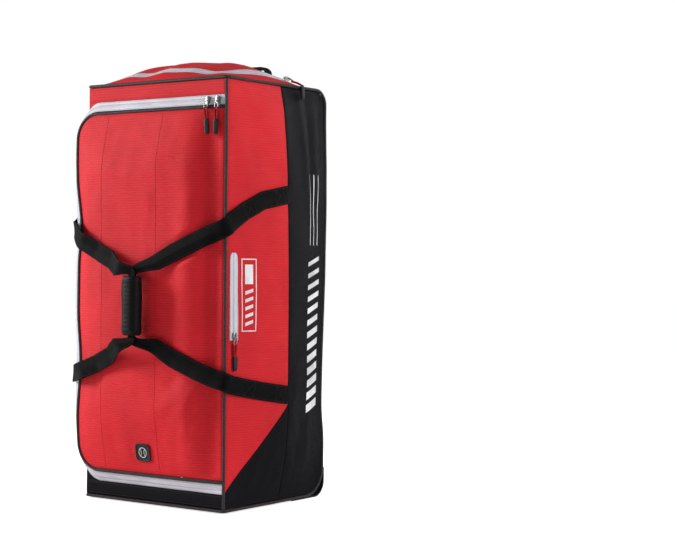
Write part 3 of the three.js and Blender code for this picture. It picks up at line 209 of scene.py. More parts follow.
def lid_y(x, z):
    right = HALF_WIDTH - EDGE_INSET
    across = (right - x) / (right - lid_left(z))
    up = (z - LID_BOTTOM) / (LID_TOP - LID_BOTTOM)
    rim = LID_RIM_STAND * lid_rim_share(across)
    return -HALF_DEPTH - rim - LID_PUFF * lid_puff_across(across) * lid_puff_up(up)


def lid_point(x, z):
    return stacked(x, lid_y(x, z), z)


def corner_cut(z, low, high, low_radius, high_radius):
    """How far a round corner takes an edge in at a height."""
    miss = np.maximum(low + low_radius - z, 0) + np.maximum(z - high + high_radius, 0)
    radius = np.where(z < (low + high) / 2, low_radius, high_radius)
    return radius - np.sqrt(np.maximum(radius**2 - miss**2, 0))


def corner_rows(low, high, low_radius, high_radius, step):
    """Heights of a grid's rows, closer together in the round corners of its edge."""
    turn = np.linspace(0, math.pi / 2, 15)[:-1]
    middle = np.linspace(low + low_radius, high - high_radius, max(int((high - low) / step), 4))
    foot = low + low_radius * (1 - np.cos(turn))
    head = high - high_radius * (1 - np.cos(turn))
    return np.concatenate([foot, middle, head[::-1]])


def soft_noise(points, seed, size):
    """Smooth seeded noise, mostly from -1 to 1, with dents of about the given size."""
    random = np.random.default_rng(seed)
    waves = 8

    def layer(at, pitch_from, pitch_to):
        total = 0
        for _ in range(waves):
            direction = random.normal(size=3)
            direction /= np.linalg.norm(direction)
            pitch = size * random.uniform(pitch_from, pitch_to)
            total = total + np.sin(at @ direction * (TURN / pitch) + random.uniform(0, TURN))
        return total / math.sqrt(waves)

    warp = np.stack([layer(points, 2, 4) for _ in range(3)], -1) * size * 0.3
    return layer(points + warp, 1.3, 2.8) * 0.7


def grid_normals(points):
    normal = unit(np.cross(np.gradient(points, axis=1), np.gradient(points, axis=0)))
    outward = points.reshape(-1, 3).mean(0) - np.array([0, 0, BODY_HEIGHT / 2])
    if (normal.reshape(-1, 3) @ outward).mean() < 0:
        normal = -normal
    return normal


def fold_lift(flat, rows):
    """Lift of a cloth by its folds: (from, to, half width, lift) in the panel's flat coordinates."""
    lift = np.zeros(flat.shape[:-1])
    for start, end, width, height in rows:
        start, run = np.array(start, float), np.array(end, float) - np.array(start, float)
        along = np.clip(((flat - start) @ run) / (run @ run), 0, 1)
        miss = np.linalg.norm(flat - start - along[..., None] * run, axis=-1)
        lift += height * np.exp(-((miss / width) ** 2)) * np.sin(math.pi * (0.08 + 0.84 * along))
    return lift


def mesh_object(name, points, faces, uv, smooth, edge=None):
    """A mesh object from points in millimetres, with a cloth map in metres."""
    mesh = bpy.data.meshes.new(name)
    mesh.from_pydata((points * MM).tolist(), [], faces)
    mesh.polygons.foreach_set("use_smooth", smooth)
    layer = mesh.uv_layers.new(name="cloth")
    corner = np.empty(len(mesh.loops), np.int32)
    mesh.loops.foreach_get("vertex_index", corner)
    layer.data.foreach_set("uv", (uv[corner] * MM).astype(np.float32).ravel())
    if edge is not None:
        mesh.attributes.new("edge", "FLOAT", "POINT").data.foreach_set("value", edge.astype(np.float32))
    made = bpy.data.objects.new(name, mesh)
    bpy.context.scene.collection.objects.link(made)
    return made


def grid_faces(rows, columns, flip=False, offset=0):
    index = np.arange(rows * columns).reshape(rows, columns) + offset
    quads = np.stack([index[:-1, :-1], index[:-1, 1:], index[1:, 1:], index[1:, :-1]], -1).reshape(-1, 4)
    return quads[:, ::-1] if flip else quads


def shell(name, outer, normals, thickness, flat, edge):
    """A cloth wall from its outer grid."""
    rows, columns = outer.shape[:2]
    count = rows * columns
    points = np.concatenate([outer.reshape(-1, 3), (outer - normals * thickness).reshape(-1, 3)])
    turned = np.cross(outer[0, 1] - outer[0, 0], outer[1, 0] - outer[0, 0]) @ normals[0, 0] < 0
    face = grid_faces(rows, columns, turned)
    back = grid_faces(rows, columns, not turned, count)
    rim = np.concatenate([
        np.arange(columns - 1),
        np.arange(rows - 1) * columns + columns - 1,
        (rows - 1) * columns + np.arange(columns - 1, 0, -1),
        np.arange(rows - 1, 0, -1) * columns,
    ])
    following = np.roll(rim, -1)
    side = np.stack([rim, rim + count, following + count, following], -1)
    side = side[:, ::-1] if turned else side
    faces = np.concatenate([face, back, side]).tolist()
    smooth = np.ones(len(faces), bool)
    uv = np.tile(flat.reshape(-1, 2), (2, 1))
    return mesh_object(name, points, faces, uv, smooth, np.tile(edge.ravel(), 2))


# Sewing: rows of short raised threads, gathered here and made as one mesh for each colour
STITCH_PITCH = 3.8
STITCH_LENGTH = 2.7
STITCH_RADIUS = 0.38
STITCH_INSET = 4.2
stitch_rows = {"red": [], "black": [], "grey": []}


def sew(path, normals, colour):
    """Adds a row of stitches along a path on a surface."""
    path, normals = np.asarray(path, float), np.asarray(normals, float)
    length = lengths_along(path)
    count = int(length[-1] / STITCH_PITCH)
    if count < 2:
        return
    at = (np.arange(count) + 0.5) * length[-1] / count
    middle = read_at(at, length, path)
    along = unit(read_at(at + 0.5, length, path) - read_at(at - 0.5, length, path))
    up = read_at(at, length, normals)
    up = unit(up - along * (up * along).sum(1, keepdims=True))
    stitch_rows[colour].append((middle, along, up))


def stitch_mesh(name, rows):
    """All the stitches of one colour as one mesh of small tapered threads."""
    middle, along, up = (np.concatenate([row[k] for row in rows]) for k in range(3))
    across = np.cross(along, up)
    places = [(-0.5, 0.35), (-0.28, 1), (0.28, 1), (0.5, 0.35)]
    sides = 5
    turn = np.arange(sides) * TURN / sides
    points = []
    for place, radius in places:
        for angle in turn:
            offset = across * math.cos(angle) * 1.15 + up * math.sin(angle) * 0.8
            points.append(middle + along * place * STITCH_LENGTH + offset * radius * STITCH_RADIUS)
    points = np.stack(points, 1)
    size = len(places) * sides
    faces = []
    for j in range(len(places) - 1):
        for k in range(sides):
            m = (k + 1) % sides
            faces.append((j * sides + k, (j + 1) * sides + k, (j + 1) * sides + m, j * sides + m))
    ends = [tuple(range(sides)), tuple(range(size - 1, size - 1 - sides, -1))]
    base = np.arange(len(middle)) * size
    every = [tuple(int(b) + i for i in face) for b in base for face in faces + ends]
    flat = np.zeros((len(middle) * size, 2))
    return mesh_object(name, points.reshape(-1, 3), every, flat, np.ones(len(every), bool))


def spaced(length, step):
    """Shares along an edge, closer together near both ends, where the hem rolls in."""
    hem = np.array([0, 1, 2.2, 3.2, STITCH_INSET, 6, 8.5])
    hem = hem[hem < length / 2 - 1]
    inner = np.linspace(hem[-1], length - hem[-1], max(int((length - 2 * hem[-1]) / step), 2) + 1)
    return np.concatenate([hem[:-1], inner, (length - hem[:-1])[::-1]]) / length


HEM_DEPTH = 1.3
HEM_WIDTH = 3.4
GROOVE_DEPTH = 0.35
GROOVE_WIDTH = 1.1
DENT_MARGIN = 26
FOLD_MARGIN = 14
PRESS_DEPTH = 0.7
pressed_places = []


class Cloth:
    """A sewn panel's surface with its dents, folds and hem, read at shares from 0 to 1."""

    def __init__(
        self, surface, across, along, flat, *, seed=1, dents=1.2, size=70, folds=(), hem=HEM_DEPTH
    ):
        self.surface, self.flat = surface, flat
        self.across, self.along = across, along
        self.seed, self.dents, self.size = seed, dents, size
        self.folds, self.hem = folds, hem

    def at(self, u, v):
        """Points, normals, flat coordinates and distance from the edge on a grid of shares."""
        points = self.surface(u, v)
        normals = grid_normals(points)
        edge_u = np.minimum(u, 1 - u) * self.across
        edge = np.minimum(edge_u, np.minimum(v, 1 - v) * self.along)
        flat = self.flat(points)
        inside = smoothstep(edge, 0, DENT_MARGIN)
        lift = self.dents * inside * soft_noise(points, self.seed, self.size)
        lift += 0.3 * self.dents * inside * soft_noise(points, self.seed + 50, self.size * 0.34)
        lift += fold_lift(flat, self.folds) * smoothstep(edge, 0, FOLD_MARGIN)
        lift = pressed_in(points, lift)
        lift -= self.hem * (1 - smoothstep(edge, 0, HEM_WIDTH))
        groove = np.exp(-(((edge - STITCH_INSET) / GROOVE_WIDTH) ** 2))
        lift -= GROOVE_DEPTH * groove * smoothstep(edge, 0, STITCH_INSET) * (self.hem > 0)
        points = points + normals * lift[..., None]
        return points, grid_normals(points), flat, edge


def pressed_in(points, lift):
    """Cloth under a strap or a badge gives way to it."""
    for centres, reach in pressed_places:
        low, high = centres.min(0) - 2 * reach, centres.max(0) + 2 * reach
        near = ((points > low) & (points < high)).all(-1)
        if not near.any():
            continue
        picked = points[near]
        nearest = np.full(len(picked), np.inf)
        for centre in centres:
            nearest = np.minimum(nearest, ((picked - centre) ** 2).sum(1))
        share = 1 - smoothstep(np.sqrt(nearest), reach, 1.7 * reach)
        lift[near] = lerp(lift[near], np.minimum(lift[near], -PRESS_DEPTH), share)
    return lift


def panel(name, cloth, node, colour, *, step=5, u=None, v=None, stitched="lrtb"):
    """A sewn panel that stands for a CAD node."""
    u = spaced(cloth.across, step) if u is None else u
    v = spaced(cloth.along, step) if v is None else v
    points, normals, flat, edge = cloth.at(*np.meshgrid(u, v))
    made = shell(name, points, normals, CLOTH, flat, edge)

    def line_at(shares, length, from_end):
        places = (1 - shares if from_end else shares) * length
        return int(np.argmin(np.abs(places - STITCH_INSET)))

    lines = {
        "l": (slice(None), line_at(u, cloth.across, False)),
        "r": (slice(None), line_at(u, cloth.across, True)),
        "b": (line_at(v, cloth.along, False), slice(None)),
        "t": (line_at(v, cloth.along, True), slice(None)),
    }
    for side in stitched:
        line = lines[side]
        sew((points[line] + normals[line] * 0.1)[2:-2], normals[line][2:-2], colour)
    finish_piece(made, colour_materials[colour], node)
    return cloth


def finish_piece(made, material, *nodes, body="bag", slot=None):
    """Gives a piece its material and body, and hides the CAD nodes that it stands for."""
    made.data.materials.append(material)
    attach(made, body)
    if nodes:
        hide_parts(*nodes)
    return made


# Materials
class Shader:
    """A node tree with one principled surface."""

    def __init__(self, name, colour, roughness, gloss=0.3, **sockets):
        self.material = bpy.data.materials.new(name)
        self.material.use_nodes = True
        self.tree = self.material.node_tree
        self.tree.nodes.clear()
        self.surface = self.add("ShaderNodeBsdfPrincipled")
        output = self.add("ShaderNodeOutputMaterial")
        self.tree.links.new(self.surface.outputs[0], output.inputs[0])
        self.surface.inputs["Base Color"].default_value = (*colour, 1)
        self.surface.inputs["Roughness"].default_value = roughness
        self.surface.inputs["Specular IOR Level"].default_value = gloss
        for socket, value in sockets.items():
            self.surface.inputs[socket.replace("_", " ").title()].default_value = value

    def add(self, kind, **settings):
        node = self.tree.nodes.new(kind)
        for key, value in settings.items():
            setattr(node, key, value)
        return node

    def link(self, source, target):
        self.tree.links.new(source, target)

    def math(self, operation, *values):
        node = self.add("ShaderNodeMath", operation=operation)
        for socket, value in zip(node.inputs, values):
            if isinstance(value, (int, float)):
                socket.default_value = value
            else:
                self.link(value, socket)
        return node.outputs[0]

    def cloth_map(self):
        node = self.add("ShaderNodeSeparateXYZ")
        self.link(self.add("ShaderNodeUVMap", uv_map="cloth").outputs[0], node.inputs[0])
        return node.outputs[0], node.outputs[1]

    def wave(self, coordinate, pitch_mm):
        return self.math("SINE", self.math("MULTIPLY", coordinate, TURN / (pitch_mm * MM)))

    def noise(self, scale, detail, roughness=0.55, stretch=(1, 1, 1)):
        place = self.add("ShaderNodeTexCoord").outputs["Object"]
        mapping = self.add("ShaderNodeMapping")
        mapping.inputs["Scale"].default_value = stretch
        self.link(place, mapping.inputs["Vector"])
        node = self.add("ShaderNodeTexNoise")
        node.inputs["Scale"].default_value = scale
        node.inputs["Detail"].default_value = detail
        node.inputs["Roughness"].default_value = roughness
        self.link(mapping.outputs[0], node.inputs["Vector"])
        return node.outputs["Fac"]

    def colour_by(self, value, *stops):
        ramp = self.add("ShaderNodeValToRGB")
        elements = ramp.color_ramp.elements
        while len(elements) < len(stops):
            elements.new(0.5)
        for element, (place, colour) in zip(elements, stops):
            element.position = place
            element.color = (*colour, 1)
        self.link(value, ramp.inputs[0])
        return ramp.outputs[0]

    def mix_colour(self, amount, first, second):
        node = self.add("ShaderNodeMix", data_type="RGBA")
        sockets = (node.inputs[0], node.inputs[6], node.inputs[7])
        for socket, value in zip(sockets, (amount, first, second)):
            if isinstance(value, (int, float)):
                socket.default_value = value
            elif isinstance(value, tuple):
                socket.default_value = (*value, 1)
            else:
                self.link(value, socket)
        return node.outputs[2]

    def spread(self, value, low, high):
        node = self.add("ShaderNodeMapRange")
        node.inputs["To Min"].default_value = low
        node.inputs["To Max"].default_value = high
        self.link(value, node.inputs["Value"])
        return node.outputs[0]

    def bump(self, height, distance_mm, strength):
        node = self.add("ShaderNodeBump")
        node.inputs["Strength"].default_value = strength
        node.inputs["Distance"].default_value = distance_mm * MM
        self.link(height, node.inputs["Height"])
        previous = self.surface.inputs["Normal"]
        if previous.is_linked:
            self.link(previous.links[0].from_socket, node.inputs["Normal"])
        self.link(node.outputs[0], previous)

    def set_colour(self, socket):
        self.link(socket, self.surface.inputs["Base Color"])

    def set_roughness(self, socket):
        self.link(socket, self.surface.inputs["Roughness"])


def scaled(colour, factor):
    return tuple(min(c * factor, 1) for c in colour)


def woven(name, colour, roughness, weave=1.1, ribs=5.2, rib_depth=0.4, gloss=0.14):
    """Coated woven nylon with a fine weave and a raised rib at a wider pitch."""
    shader = Shader(name, colour, roughness, gloss, sheen_weight=0.004, sheen_roughness=0.5)
    across, up = shader.cloth_map()
    threads = shader.math("MULTIPLY", shader.wave(across, weave), shader.wave(up, weave))
    rib = shader.math("POWER", shader.math("ABSOLUTE", shader.wave(up, 2 * ribs)), 6.0)
    patches = shader.noise(7, 4)
    dust = shader.noise(90, 3)
    tone = shader.colour_by(
        patches, (0.3, scaled(colour, 0.86)), (0.52, colour), (0.75, scaled(colour, 1.12))
    )
    tone = shader.mix_colour(shader.math("MULTIPLY", rib, 0.32), tone, scaled(colour, 0.6))
    tone = shader.mix_colour(shader.spread(threads, 0.0, 0.10), tone, scaled(colour, 0.7))
    edge = shader.add("ShaderNodeAttribute", attribute_name="edge").outputs["Fac"]
    worn = shader.math("MULTIPLY", shader.math("LESS_THAN", edge, 1.6), shader.spread(dust, 0.0, 0.35))
    shader.set_colour(shader.mix_colour(worn, tone, scaled(colour, 1.5)))
    shader.set_roughness(shader.spread(shader.noise(26, 3), roughness - 0.07, roughness + 0.07))
    shader.bump(shader.noise(45, 4), 0.5, 0.35)
    shader.bump(rib, rib_depth, 0.5)
    shader.bump(threads, 0.12, 0.6)
    return shader.material


def zip_tape():
    colour = (0.7, 0.69, 0.76)
    shader = Shader("zip_tape", colour, 0.42, sheen_weight=0.05, sheen_roughness=0.4)
    across, up = shader.cloth_map()
    coil = shader.wave(up, 1.7)
    centre = shader.math("COMPARE", across, 0.0, 3.2 * MM)
    grain = shader.math("MULTIPLY", shader.wave(across, 0.9), shader.wave(up, 0.9))
    lines = shader.math("POWER", shader.math("ABSOLUTE", shader.wave(across, 9.0)), 24.0)
    patches = shader.noise(14, 3)
    tone = shader.colour_by(patches, (0.35, scaled(colour, 0.9)), (0.7, scaled(colour, 1.06)))
    tone = shader.mix_colour(shader.math("MULTIPLY", lines, 0.18), tone, scaled(colour, 0.6))
    shader.set_colour(tone)
    shader.set_roughness(shader.spread(patches, 0.36, 0.5))
    shader.bump(shader.math("MULTIPLY", coil, centre), 0.5, 0.6)
    shader.bump(grain, 0.1, 0.5)
    return shader.material


def webbing():
    colour = (0.003, 0.003, 0.0033)
    shader = Shader("webbing", colour, 0.6, 0.05, sheen_weight=0.004, sheen_roughness=0.5)
    across, up = shader.cloth_map()
    rib = shader.math("ABSOLUTE", shader.wave(across, 5.4))
    slope = shader.math("MULTIPLY", shader.math("ABSOLUTE", across), 0.8)
    chevron = shader.wave(shader.math("ADD", up, slope), 2.4)
    patches = shader.noise(30, 3)
    tone = shader.colour_by(patches, (0.3, scaled(colour, 0.7)), (0.75, scaled(colour, 1.7)))
    shader.set_colour(shader.mix_colour(shader.spread(chevron, 0.0, 0.35), tone, scaled(colour, 2.2)))
    shader.set_roughness(shader.spread(patches, 0.5, 0.7))
    shader.bump(rib, 0.35, 0.6)
    shader.bump(chevron, 0.25, 0.7)
    return shader.material


def cord_cover(name, colour, roughness):
    """The fabric round piping and the braid of the pull cords."""
    shader = Shader(name, colour, roughness, 0.2, sheen_weight=0.02, sheen_roughness=0.4)
    across, up = shader.cloth_map()
    slant = shader.math("ADD", up, across)
    twill = shader.wave(slant, 1.3)
    patches = shader.noise(40, 3)
    tone = shader.colour_by(patches, (0.3, scaled(colour, 0.8)), (0.75, scaled(colour, 1.25)))
    shader.set_colour(shader.mix_colour(shader.spread(twill, 0.0, 0.3), tone, scaled(colour, 0.5)))
    shader.set_roughness(shader.spread(patches, roughness - 0.08, roughness + 0.1))
    shader.bump(twill, 0.2, 0.7)
    return shader.material


def moulded(name, colour, roughness, grain=260, depth=0.12):
    """Moulded plastic or rubber with a fine grain, scuffed in patches."""
    shader = Shader(name, colour, roughness)
    patches = shader.noise(18, 5, 0.6)
    fine = shader.noise(grain, 3)
    scuff = shader.noise(60, 6, 0.7, (1, 1, 0.2))
    tone = shader.colour_by(patches, (0.3, scaled(colour, 0.75)), (0.7, scaled(colour, 1.3)))
    worn = shader.colour_by(scuff, (0.6, (0, 0, 0)), (0.78, (1, 1, 1)))
    shader.set_colour(shader.mix_colour(shader.math("MULTIPLY", worn, 0.22), tone, scaled(colour, 3.2)))
    shader.set_roughness(shader.spread(patches, roughness - 0.08, roughness + 0.12))
    shader.bump(fine, depth, 0.6)
    return shader.material


def plated(name, colour, roughness):
    """Plated metal with fine scratches."""
    shader = Shader(name, colour, roughness, metallic=1.0)
    scratch = shader.noise(220, 5, 0.7, (1, 1, 0.15))
    patches = shader.noise(35, 4)
    shader.set_colour(shader.colour_by(patches, (0.3, scaled(colour, 0.72)), (0.7, scaled(colour, 1.1))))
    shader.set_roughness(shader.spread(scratch, roughness - 0.06, roughness + 0.16))
    shader.bump(scratch, 0.05, 0.4)
    return shader.material


RED = (0.70, 0.018, 0.027)
BLACK = (0.0085, 0.008, 0.0103)
red_cloth = woven("red_fabric", RED, 0.62)
# Darker red for the lid's seam strips: painted shade of the creases along its sewn lines
crease_shade_cloth = woven("painted_crease_shade", scaled(RED, 0.84), 0.7)
black_cloth = woven("black_fabric", BLACK, 0.44, rib_depth=0.3, gloss=0.03)
silver_tape = zip_tape()
piping_cloth = cord_cover("piping", (0.042, 0.035, 0.038), 0.5)
strap_cloth = webbing()
wrap_cloth = woven("padded_wrap", (0.004, 0.004, 0.0045), 0.42, weave=1.6, ribs=9, gloss=0.1)
plastic = moulded("moulded_plastic", (0.014, 0.014, 0.016), 0.42)
tyre = moulded("wheel_rubber", (0.013, 0.013, 0.014), 0.62, grain=180, depth=0.2)
tip_rubber = moulded("pull_rubber", (0.006, 0.006, 0.0065), 0.4)
steel = plated("steel", (0.52, 0.52, 0.54), 0.28)
zip_metal = plated("zip_metal", (0.36, 0.36, 0.38), 0.24)
pull_cord_cover = cord_cover("pull_cord", (0.4, 0.005, 0.012), 0.6)
white_print = moulded("white_print", (0.72, 0.71, 0.73), 0.45, grain=400, depth=0.05)
thread = {
    "red": moulded("red_thread", (0.5, 0.014, 0.022), 0.7, grain=500),
    "black": moulded("black_thread", (0.02, 0.02, 0.022), 0.7, grain=500),
    "grey": moulded("grey_thread", (0.3, 0.3, 0.33), 0.7, grain=500),
}
colour_materials = {"red": red_cloth, "black": black_cloth}
colour_slots = {"red": "red_fabric", "black": "black_fabric"}


# Camera: fitted to the bag's corners in the photograph, which is 677 pixels wide
def add_camera():
    azimuth, distance, height = 40.3, 3.487, 0.514
    pan, pitch, roll = -4.716, 0.486, 0.51
    focal_pixels, image_width, sensor = 1600, 677, 36
    data = bpy.data.cameras.new("camera")
    data.sensor_width = sensor
    data.lens = sensor * focal_pixels / image_width
    camera = bpy.data.objects.new("camera", data)
    bpy.context.scene.collection.objects.link(camera)
    bpy.context.scene.camera = camera
    a, yaw = math.radians(azimuth), math.radians(azimuth + pan)
    p, r = math.radians(pitch), math.radians(roll)
    forward = Vector((-math.sin(yaw) * math.cos(p), math.cos(yaw) * math.cos(p), -math.sin(p)))
    right = forward.cross(Vector((0, 0, 1))).normalized()
    up = right.cross(forward)
    right, up = right * math.cos(r) + up * math.sin(r), up * math.cos(r) - right * math.sin(r)
    place = Matrix((right, up, -forward)).transposed().to_4x4()
    place.translation = Vector((math.sin(a) * distance, -math.cos(a) * distance, height))
    camera.matrix_world = place


# Studio: how bright the white surroundings are as light, then each light's name, place,
# height that it faces, width and height, and power
AMBIENT = 0.34
FLOOR_SHADE = 0.85
LIGHTS = (
    ("key", (-3.05, -1.65, 1.7), 0.45, (0.8, 1.5), 138),
    ("side", (3.0, 0.5, 1.5), 0.45, (0.7, 1.4), 42),
    ("back", (1.0, 3.2, 1.9), 0.5, (1.4, 1.6), 30),
)


def add_light(name, place, aim_height, size, power):
    data = bpy.data.lights.new(name, "AREA")
    data.shape = "RECTANGLE"
    data.size, data.size_y = size
    data.energy = power
    light = bpy.data.objects.new(name, data)
    light.location = place
    towards = Vector((0, 0, aim_height)) - Vector(place)
    light.rotation_euler = towards.to_track_quat("-Z", "Y").to_euler()
    bpy.context.scene.collection.objects.link(light)


def brighter_to_camera(tree, socket, low, high):
    """Gives a socket its high value where the camera sees the surface and its low one in the light."""
    rays = tree.nodes.new("ShaderNodeLightPath")
    strength = tree.nodes.new("ShaderNodeMapRange")
    strength.inputs["To Min"].default_value = low
    strength.inputs["To Max"].default_value = high
    tree.links.new(rays.outputs["Is Camera Ray"], strength.inputs["Value"])
    tree.links.new(strength.outputs[0], socket)


def add_studio():
    """White surroundings that light the bag less than they show, and three soft boxes."""
    world = bpy.data.worlds.new("studio")
    world.use_nodes = True
    background = world.node_tree.nodes["Background"]
    background.inputs[0].default_value = (1, 1, 1, 1)
    brighter_to_camera(world.node_tree, background.inputs[1], AMBIENT, 1.0)
    bpy.context.scene.world = world
    for light in LIGHTS:
        add_light(*light)
    mesh = bpy.data.meshes.new("floor")
    reach = 40.0
    corners = [(-reach, -reach, 0), (reach, -reach, 0), (reach, reach, 0), (-reach, reach, 0)]
    mesh.from_pydata(corners, [], [(0, 1, 2, 3)])
    floor = bpy.data.objects.new("floor", mesh)
    bpy.context.scene.collection.objects.link(floor)
    shader = Shader("floor", (0.9, 0.9, 0.905), 0.9)
    shader.surface.inputs["Emission Color"].default_value = (1, 1, 1, 1)
    glow = shader.surface.inputs["Emission Strength"]
    brighter_to_camera(shader.tree, glow, 0.0, 1 - FLOOR_SHADE * AMBIENT)
    mesh.materials.append(shader.material)
    bpy.context.scene.view_settings.view_transform = "Standard"


add_camera()
add_studio()


# Side panels, made for the right and mirrored for the left
SIDE_LOW, SIDE_HIGH = BASE_RISE + EDGE_INSET, BODY_HEIGHT - EDGE_INSET
SIDE_FRONT, SIDE_BACK = -HALF_DEPTH + EDGE_INSET, HALF_DEPTH - EDGE_INSET
LOW_RADIUS = BOTTOM_BACK_RADIUS - EDGE_INSET
HIGH_RADIUS = TOP_BACK_RADIUS - EDGE_INSET
DIAGONAL_GAP = 0.6
SIDE_FRONT_RUN = 760
SIDE_CORNER_RUN = 110


def diagonal_height(y):
    return lerp(DIAGONAL_FRONT, DIAGONAL_BACK, (y + HALF_DEPTH) / (COLOUR_SEAM_Y + HALF_DEPTH))


def to_side(points, side):
    return points * np.array([side, 1, 1])


def add_side(side):
    place = "right" if side > 0 else "left"

    def front(u, v):
        y = lerp(SIDE_FRONT, COLOUR_SEAM_Y - SEAM_GAP, u)
        return to_side(side_point(y, lerp(diagonal_height(y) + DIAGONAL_GAP, SIDE_HIGH, v)), side)

    def corner(u, v):
        y = lerp(SIDE_FRONT, COLOUR_SEAM_Y - SEAM_GAP, u)
        return to_side(side_point(y, lerp(SIDE_LOW, diagonal_height(y) - DIAGONAL_GAP, v)), side)

    rows = corner_rows(SIDE_LOW, SIDE_HIGH, LOW_RADIUS, HIGH_RADIUS, 5)
    row_shares = (rows - SIDE_LOW) / (SIDE_HIGH - SIDE_LOW)

    def rear(u, v):
        z = lerp(SIDE_LOW, SIDE_HIGH, v)
        cut = corner_cut(z, SIDE_LOW, SIDE_HIGH, LOW_RADIUS, HIGH_RADIUS)
        y = lerp(COLOUR_SEAM_Y + SEAM_GAP, SIDE_BACK - cut, u)
        return to_side(side_point(y, z), side)

    def flat(points):
        return points[..., 1:]

    seed = 10 if side > 0 else 40
    depth = COLOUR_SEAM_Y + HALF_DEPTH
    folds = [
        ((-20, 640), (-60, 560), 22, 2.2), ((5, 690), (-70, 720), 16, -1.2),
        ((-10, 250), (-90, 190), 18, 1.6), ((-140, 100), (-60, 160), 14, -1.0),
        ((-150, 800), (-90, 640), 20, 1.2), ((-120, 870), (-20, 800), 24, 1.4),
    ]
    front_cloth = Cloth(front, depth, SIDE_FRONT_RUN, flat, seed=seed, folds=folds)
    panel(f"side_{place}_front_cloth", front_cloth, f"side_{place}_front", "red")
    corner_cloth = Cloth(corner, depth, SIDE_CORNER_RUN, flat, seed=seed + 1, size=50)
    panel(f"side_{place}_corner_cloth", corner_cloth, f"side_{place}_corner", "black")
    rear_folds = [
        ((60, 900), (95, 600), 13, 3.0), ((88, 900), (112, 600), 9, -3.0),
        ((120, 880), (128, 640), 10, 2.4),
        ((40, 60), (60, 180), 12, -1.6), ((80, 40), (100, 200), 14, 1.6),
        ((20, 200), (60, 120), 12, 1.2),
    ]
    size = (SIDE_BACK - COLOUR_SEAM_Y, SIDE_HIGH - SIDE_LOW)
    rear_cloth = Cloth(rear, *size, flat, seed=seed + 2, folds=rear_folds)
    panel(f"side_{place}_rear_cloth", rear_cloth, f"side_{place}_rear", "black", v=row_shares)
    return front_cloth, rear_cloth


# Front bands
BAND_TOP = LID_TOP + TAPE_START + ZIP_TAPE_WIDTH + SEAM_GAP
BAND_BOTTOM = LID_BOTTOM - TAPE_START - ZIP_TAPE_WIDTH - SEAM_GAP


def front_flat(points):
    return points[..., [0, 2]]


def add_front_band(name, low, high, colour, seed):
    def surface(u, v):
        x = lerp(-HALF_WIDTH, HALF_WIDTH - EDGE_INSET, u)
        return stacked(x, -HALF_DEPTH, lerp(low, high, v))

    cloth = Cloth(surface, 2 * HALF_WIDTH, high - low, front_flat, seed=seed, dents=0.6, size=60)
    panel(f"{name}_cloth", cloth, name, colour, step=4)


CORNER_SET_BACK = 1.6
CORNER_REACH = 30
CORNER_CLOTH = 1.0


def add_front_corner(name, low, high, colour):
    """The front of the body where the round corner of the zip leaves it in view."""

    def surface(u, v):
        x = lerp(-HALF_WIDTH, -HALF_WIDTH + 2 * LID_CORNER, u)
        return stacked(x, -HALF_DEPTH + CORNER_SET_BACK, lerp(low, high, v))

    size = (2 * LID_CORNER, high - low)
    cloth = Cloth(surface, *size, front_flat, seed=64, dents=0, hem=0)
    points, normals, flat, edge = cloth.at(*np.meshgrid(spaced(size[0], 5), spaced(size[1], 5)))
    made = shell(name, points, normals, CORNER_CLOTH, flat, edge)
    finish_piece(made, colour_materials[colour], slot=colour_slots[colour])


# Lid
LID_RIGHT = HALF_WIDTH - EDGE_INSET


def add_lid():
    rows = corner_rows(LID_BOTTOM, LID_TOP, LID_CORNER, LID_CORNER, 4.5)
    shares = (rows - LID_BOTTOM) / (LID_TOP - LID_BOTTOM)

    def surface(u, v):
        z = lerp(LID_BOTTOM, LID_TOP, v)
        cut = corner_cut(z, LID_BOTTOM, LID_TOP, LID_CORNER, LID_CORNER)
        x = lerp(lid_left(z) + cut, LID_RIGHT, u)
        return lid_point(x, z)

    folds = [
        ((113, 20), (110, 860), 25, 6.0), ((162, 20), (160, 860), 20, -9.0),
        ((60, 250), (150, 330), 16, -2.4), ((90, 190), (160, 290), 12, 2.2),
        ((30, 200), (120, 250), 16, 1.8), ((120, 170), (165, 260), 8, -1.8),
        ((-30, 700), (120, 760), 26, 1.2), ((130, 780), (150, 560), 18, -1.6),
        ((-180, 600), (-120, 540), 16, 1.4), ((-190, 260), (-120, 330), 16, 1.2),
        ((-60, 500), (-140, 560), 18, -1.0), ((0, 340), (90, 300), 20, 1.0),
    ]
    size = (LID_RIGHT + HALF_WIDTH, LID_TOP - LID_BOTTOM)
    cloth = Cloth(surface, *size, front_flat, seed=71, dents=1.5, size=90, folds=folds)
    return panel("lid_cloth", cloth, "lid_panel", "red", v=shares, step=4.5)


def lid_shares(x, z):
    left = lid_left(z) + corner_cut(z, LID_BOTTOM, LID_TOP, LID_CORNER, LID_CORNER)
    return (x - left) / (LID_RIGHT - left), (z - LID_BOTTOM) / (LID_TOP - LID_BOTTOM)


LID_SEAMS = (-122, 32)
LID_SEAM_HALF = 0.6
LID_SEAM_RISE = 0.12


def add_lid_seams(cloth):
    """Two upright sewn lines down the lid, each on a darker red strip of painted crease shade."""
    for x in LID_SEAMS:
        z = np.linspace(LID_BOTTOM + 5, LID_TOP - 5, 190)
        across = np.stack([np.full_like(z, x - LID_SEAM_HALF), np.full_like(z, x + LID_SEAM_HALF)], 1)
        points, normals, _, _ = cloth.at(*lid_shares(across, np.broadcast_to(z[:, None], across.shape)))
        raised, flat = points + normals * LID_SEAM_RISE, np.stack([across, across], -1)
        # A thin darker red strip of painted crease shade under each sewn line
        made = shell(f"lid_seam_{x}", raised, normals, 0.4, flat, np.full(across.shape, 5.0))
        finish_piece(made, crease_shade_cloth, slot="red_fabric")
        sew(points.mean(1) + normals.mean(1) * 0.2, normals.mean(1), "red")


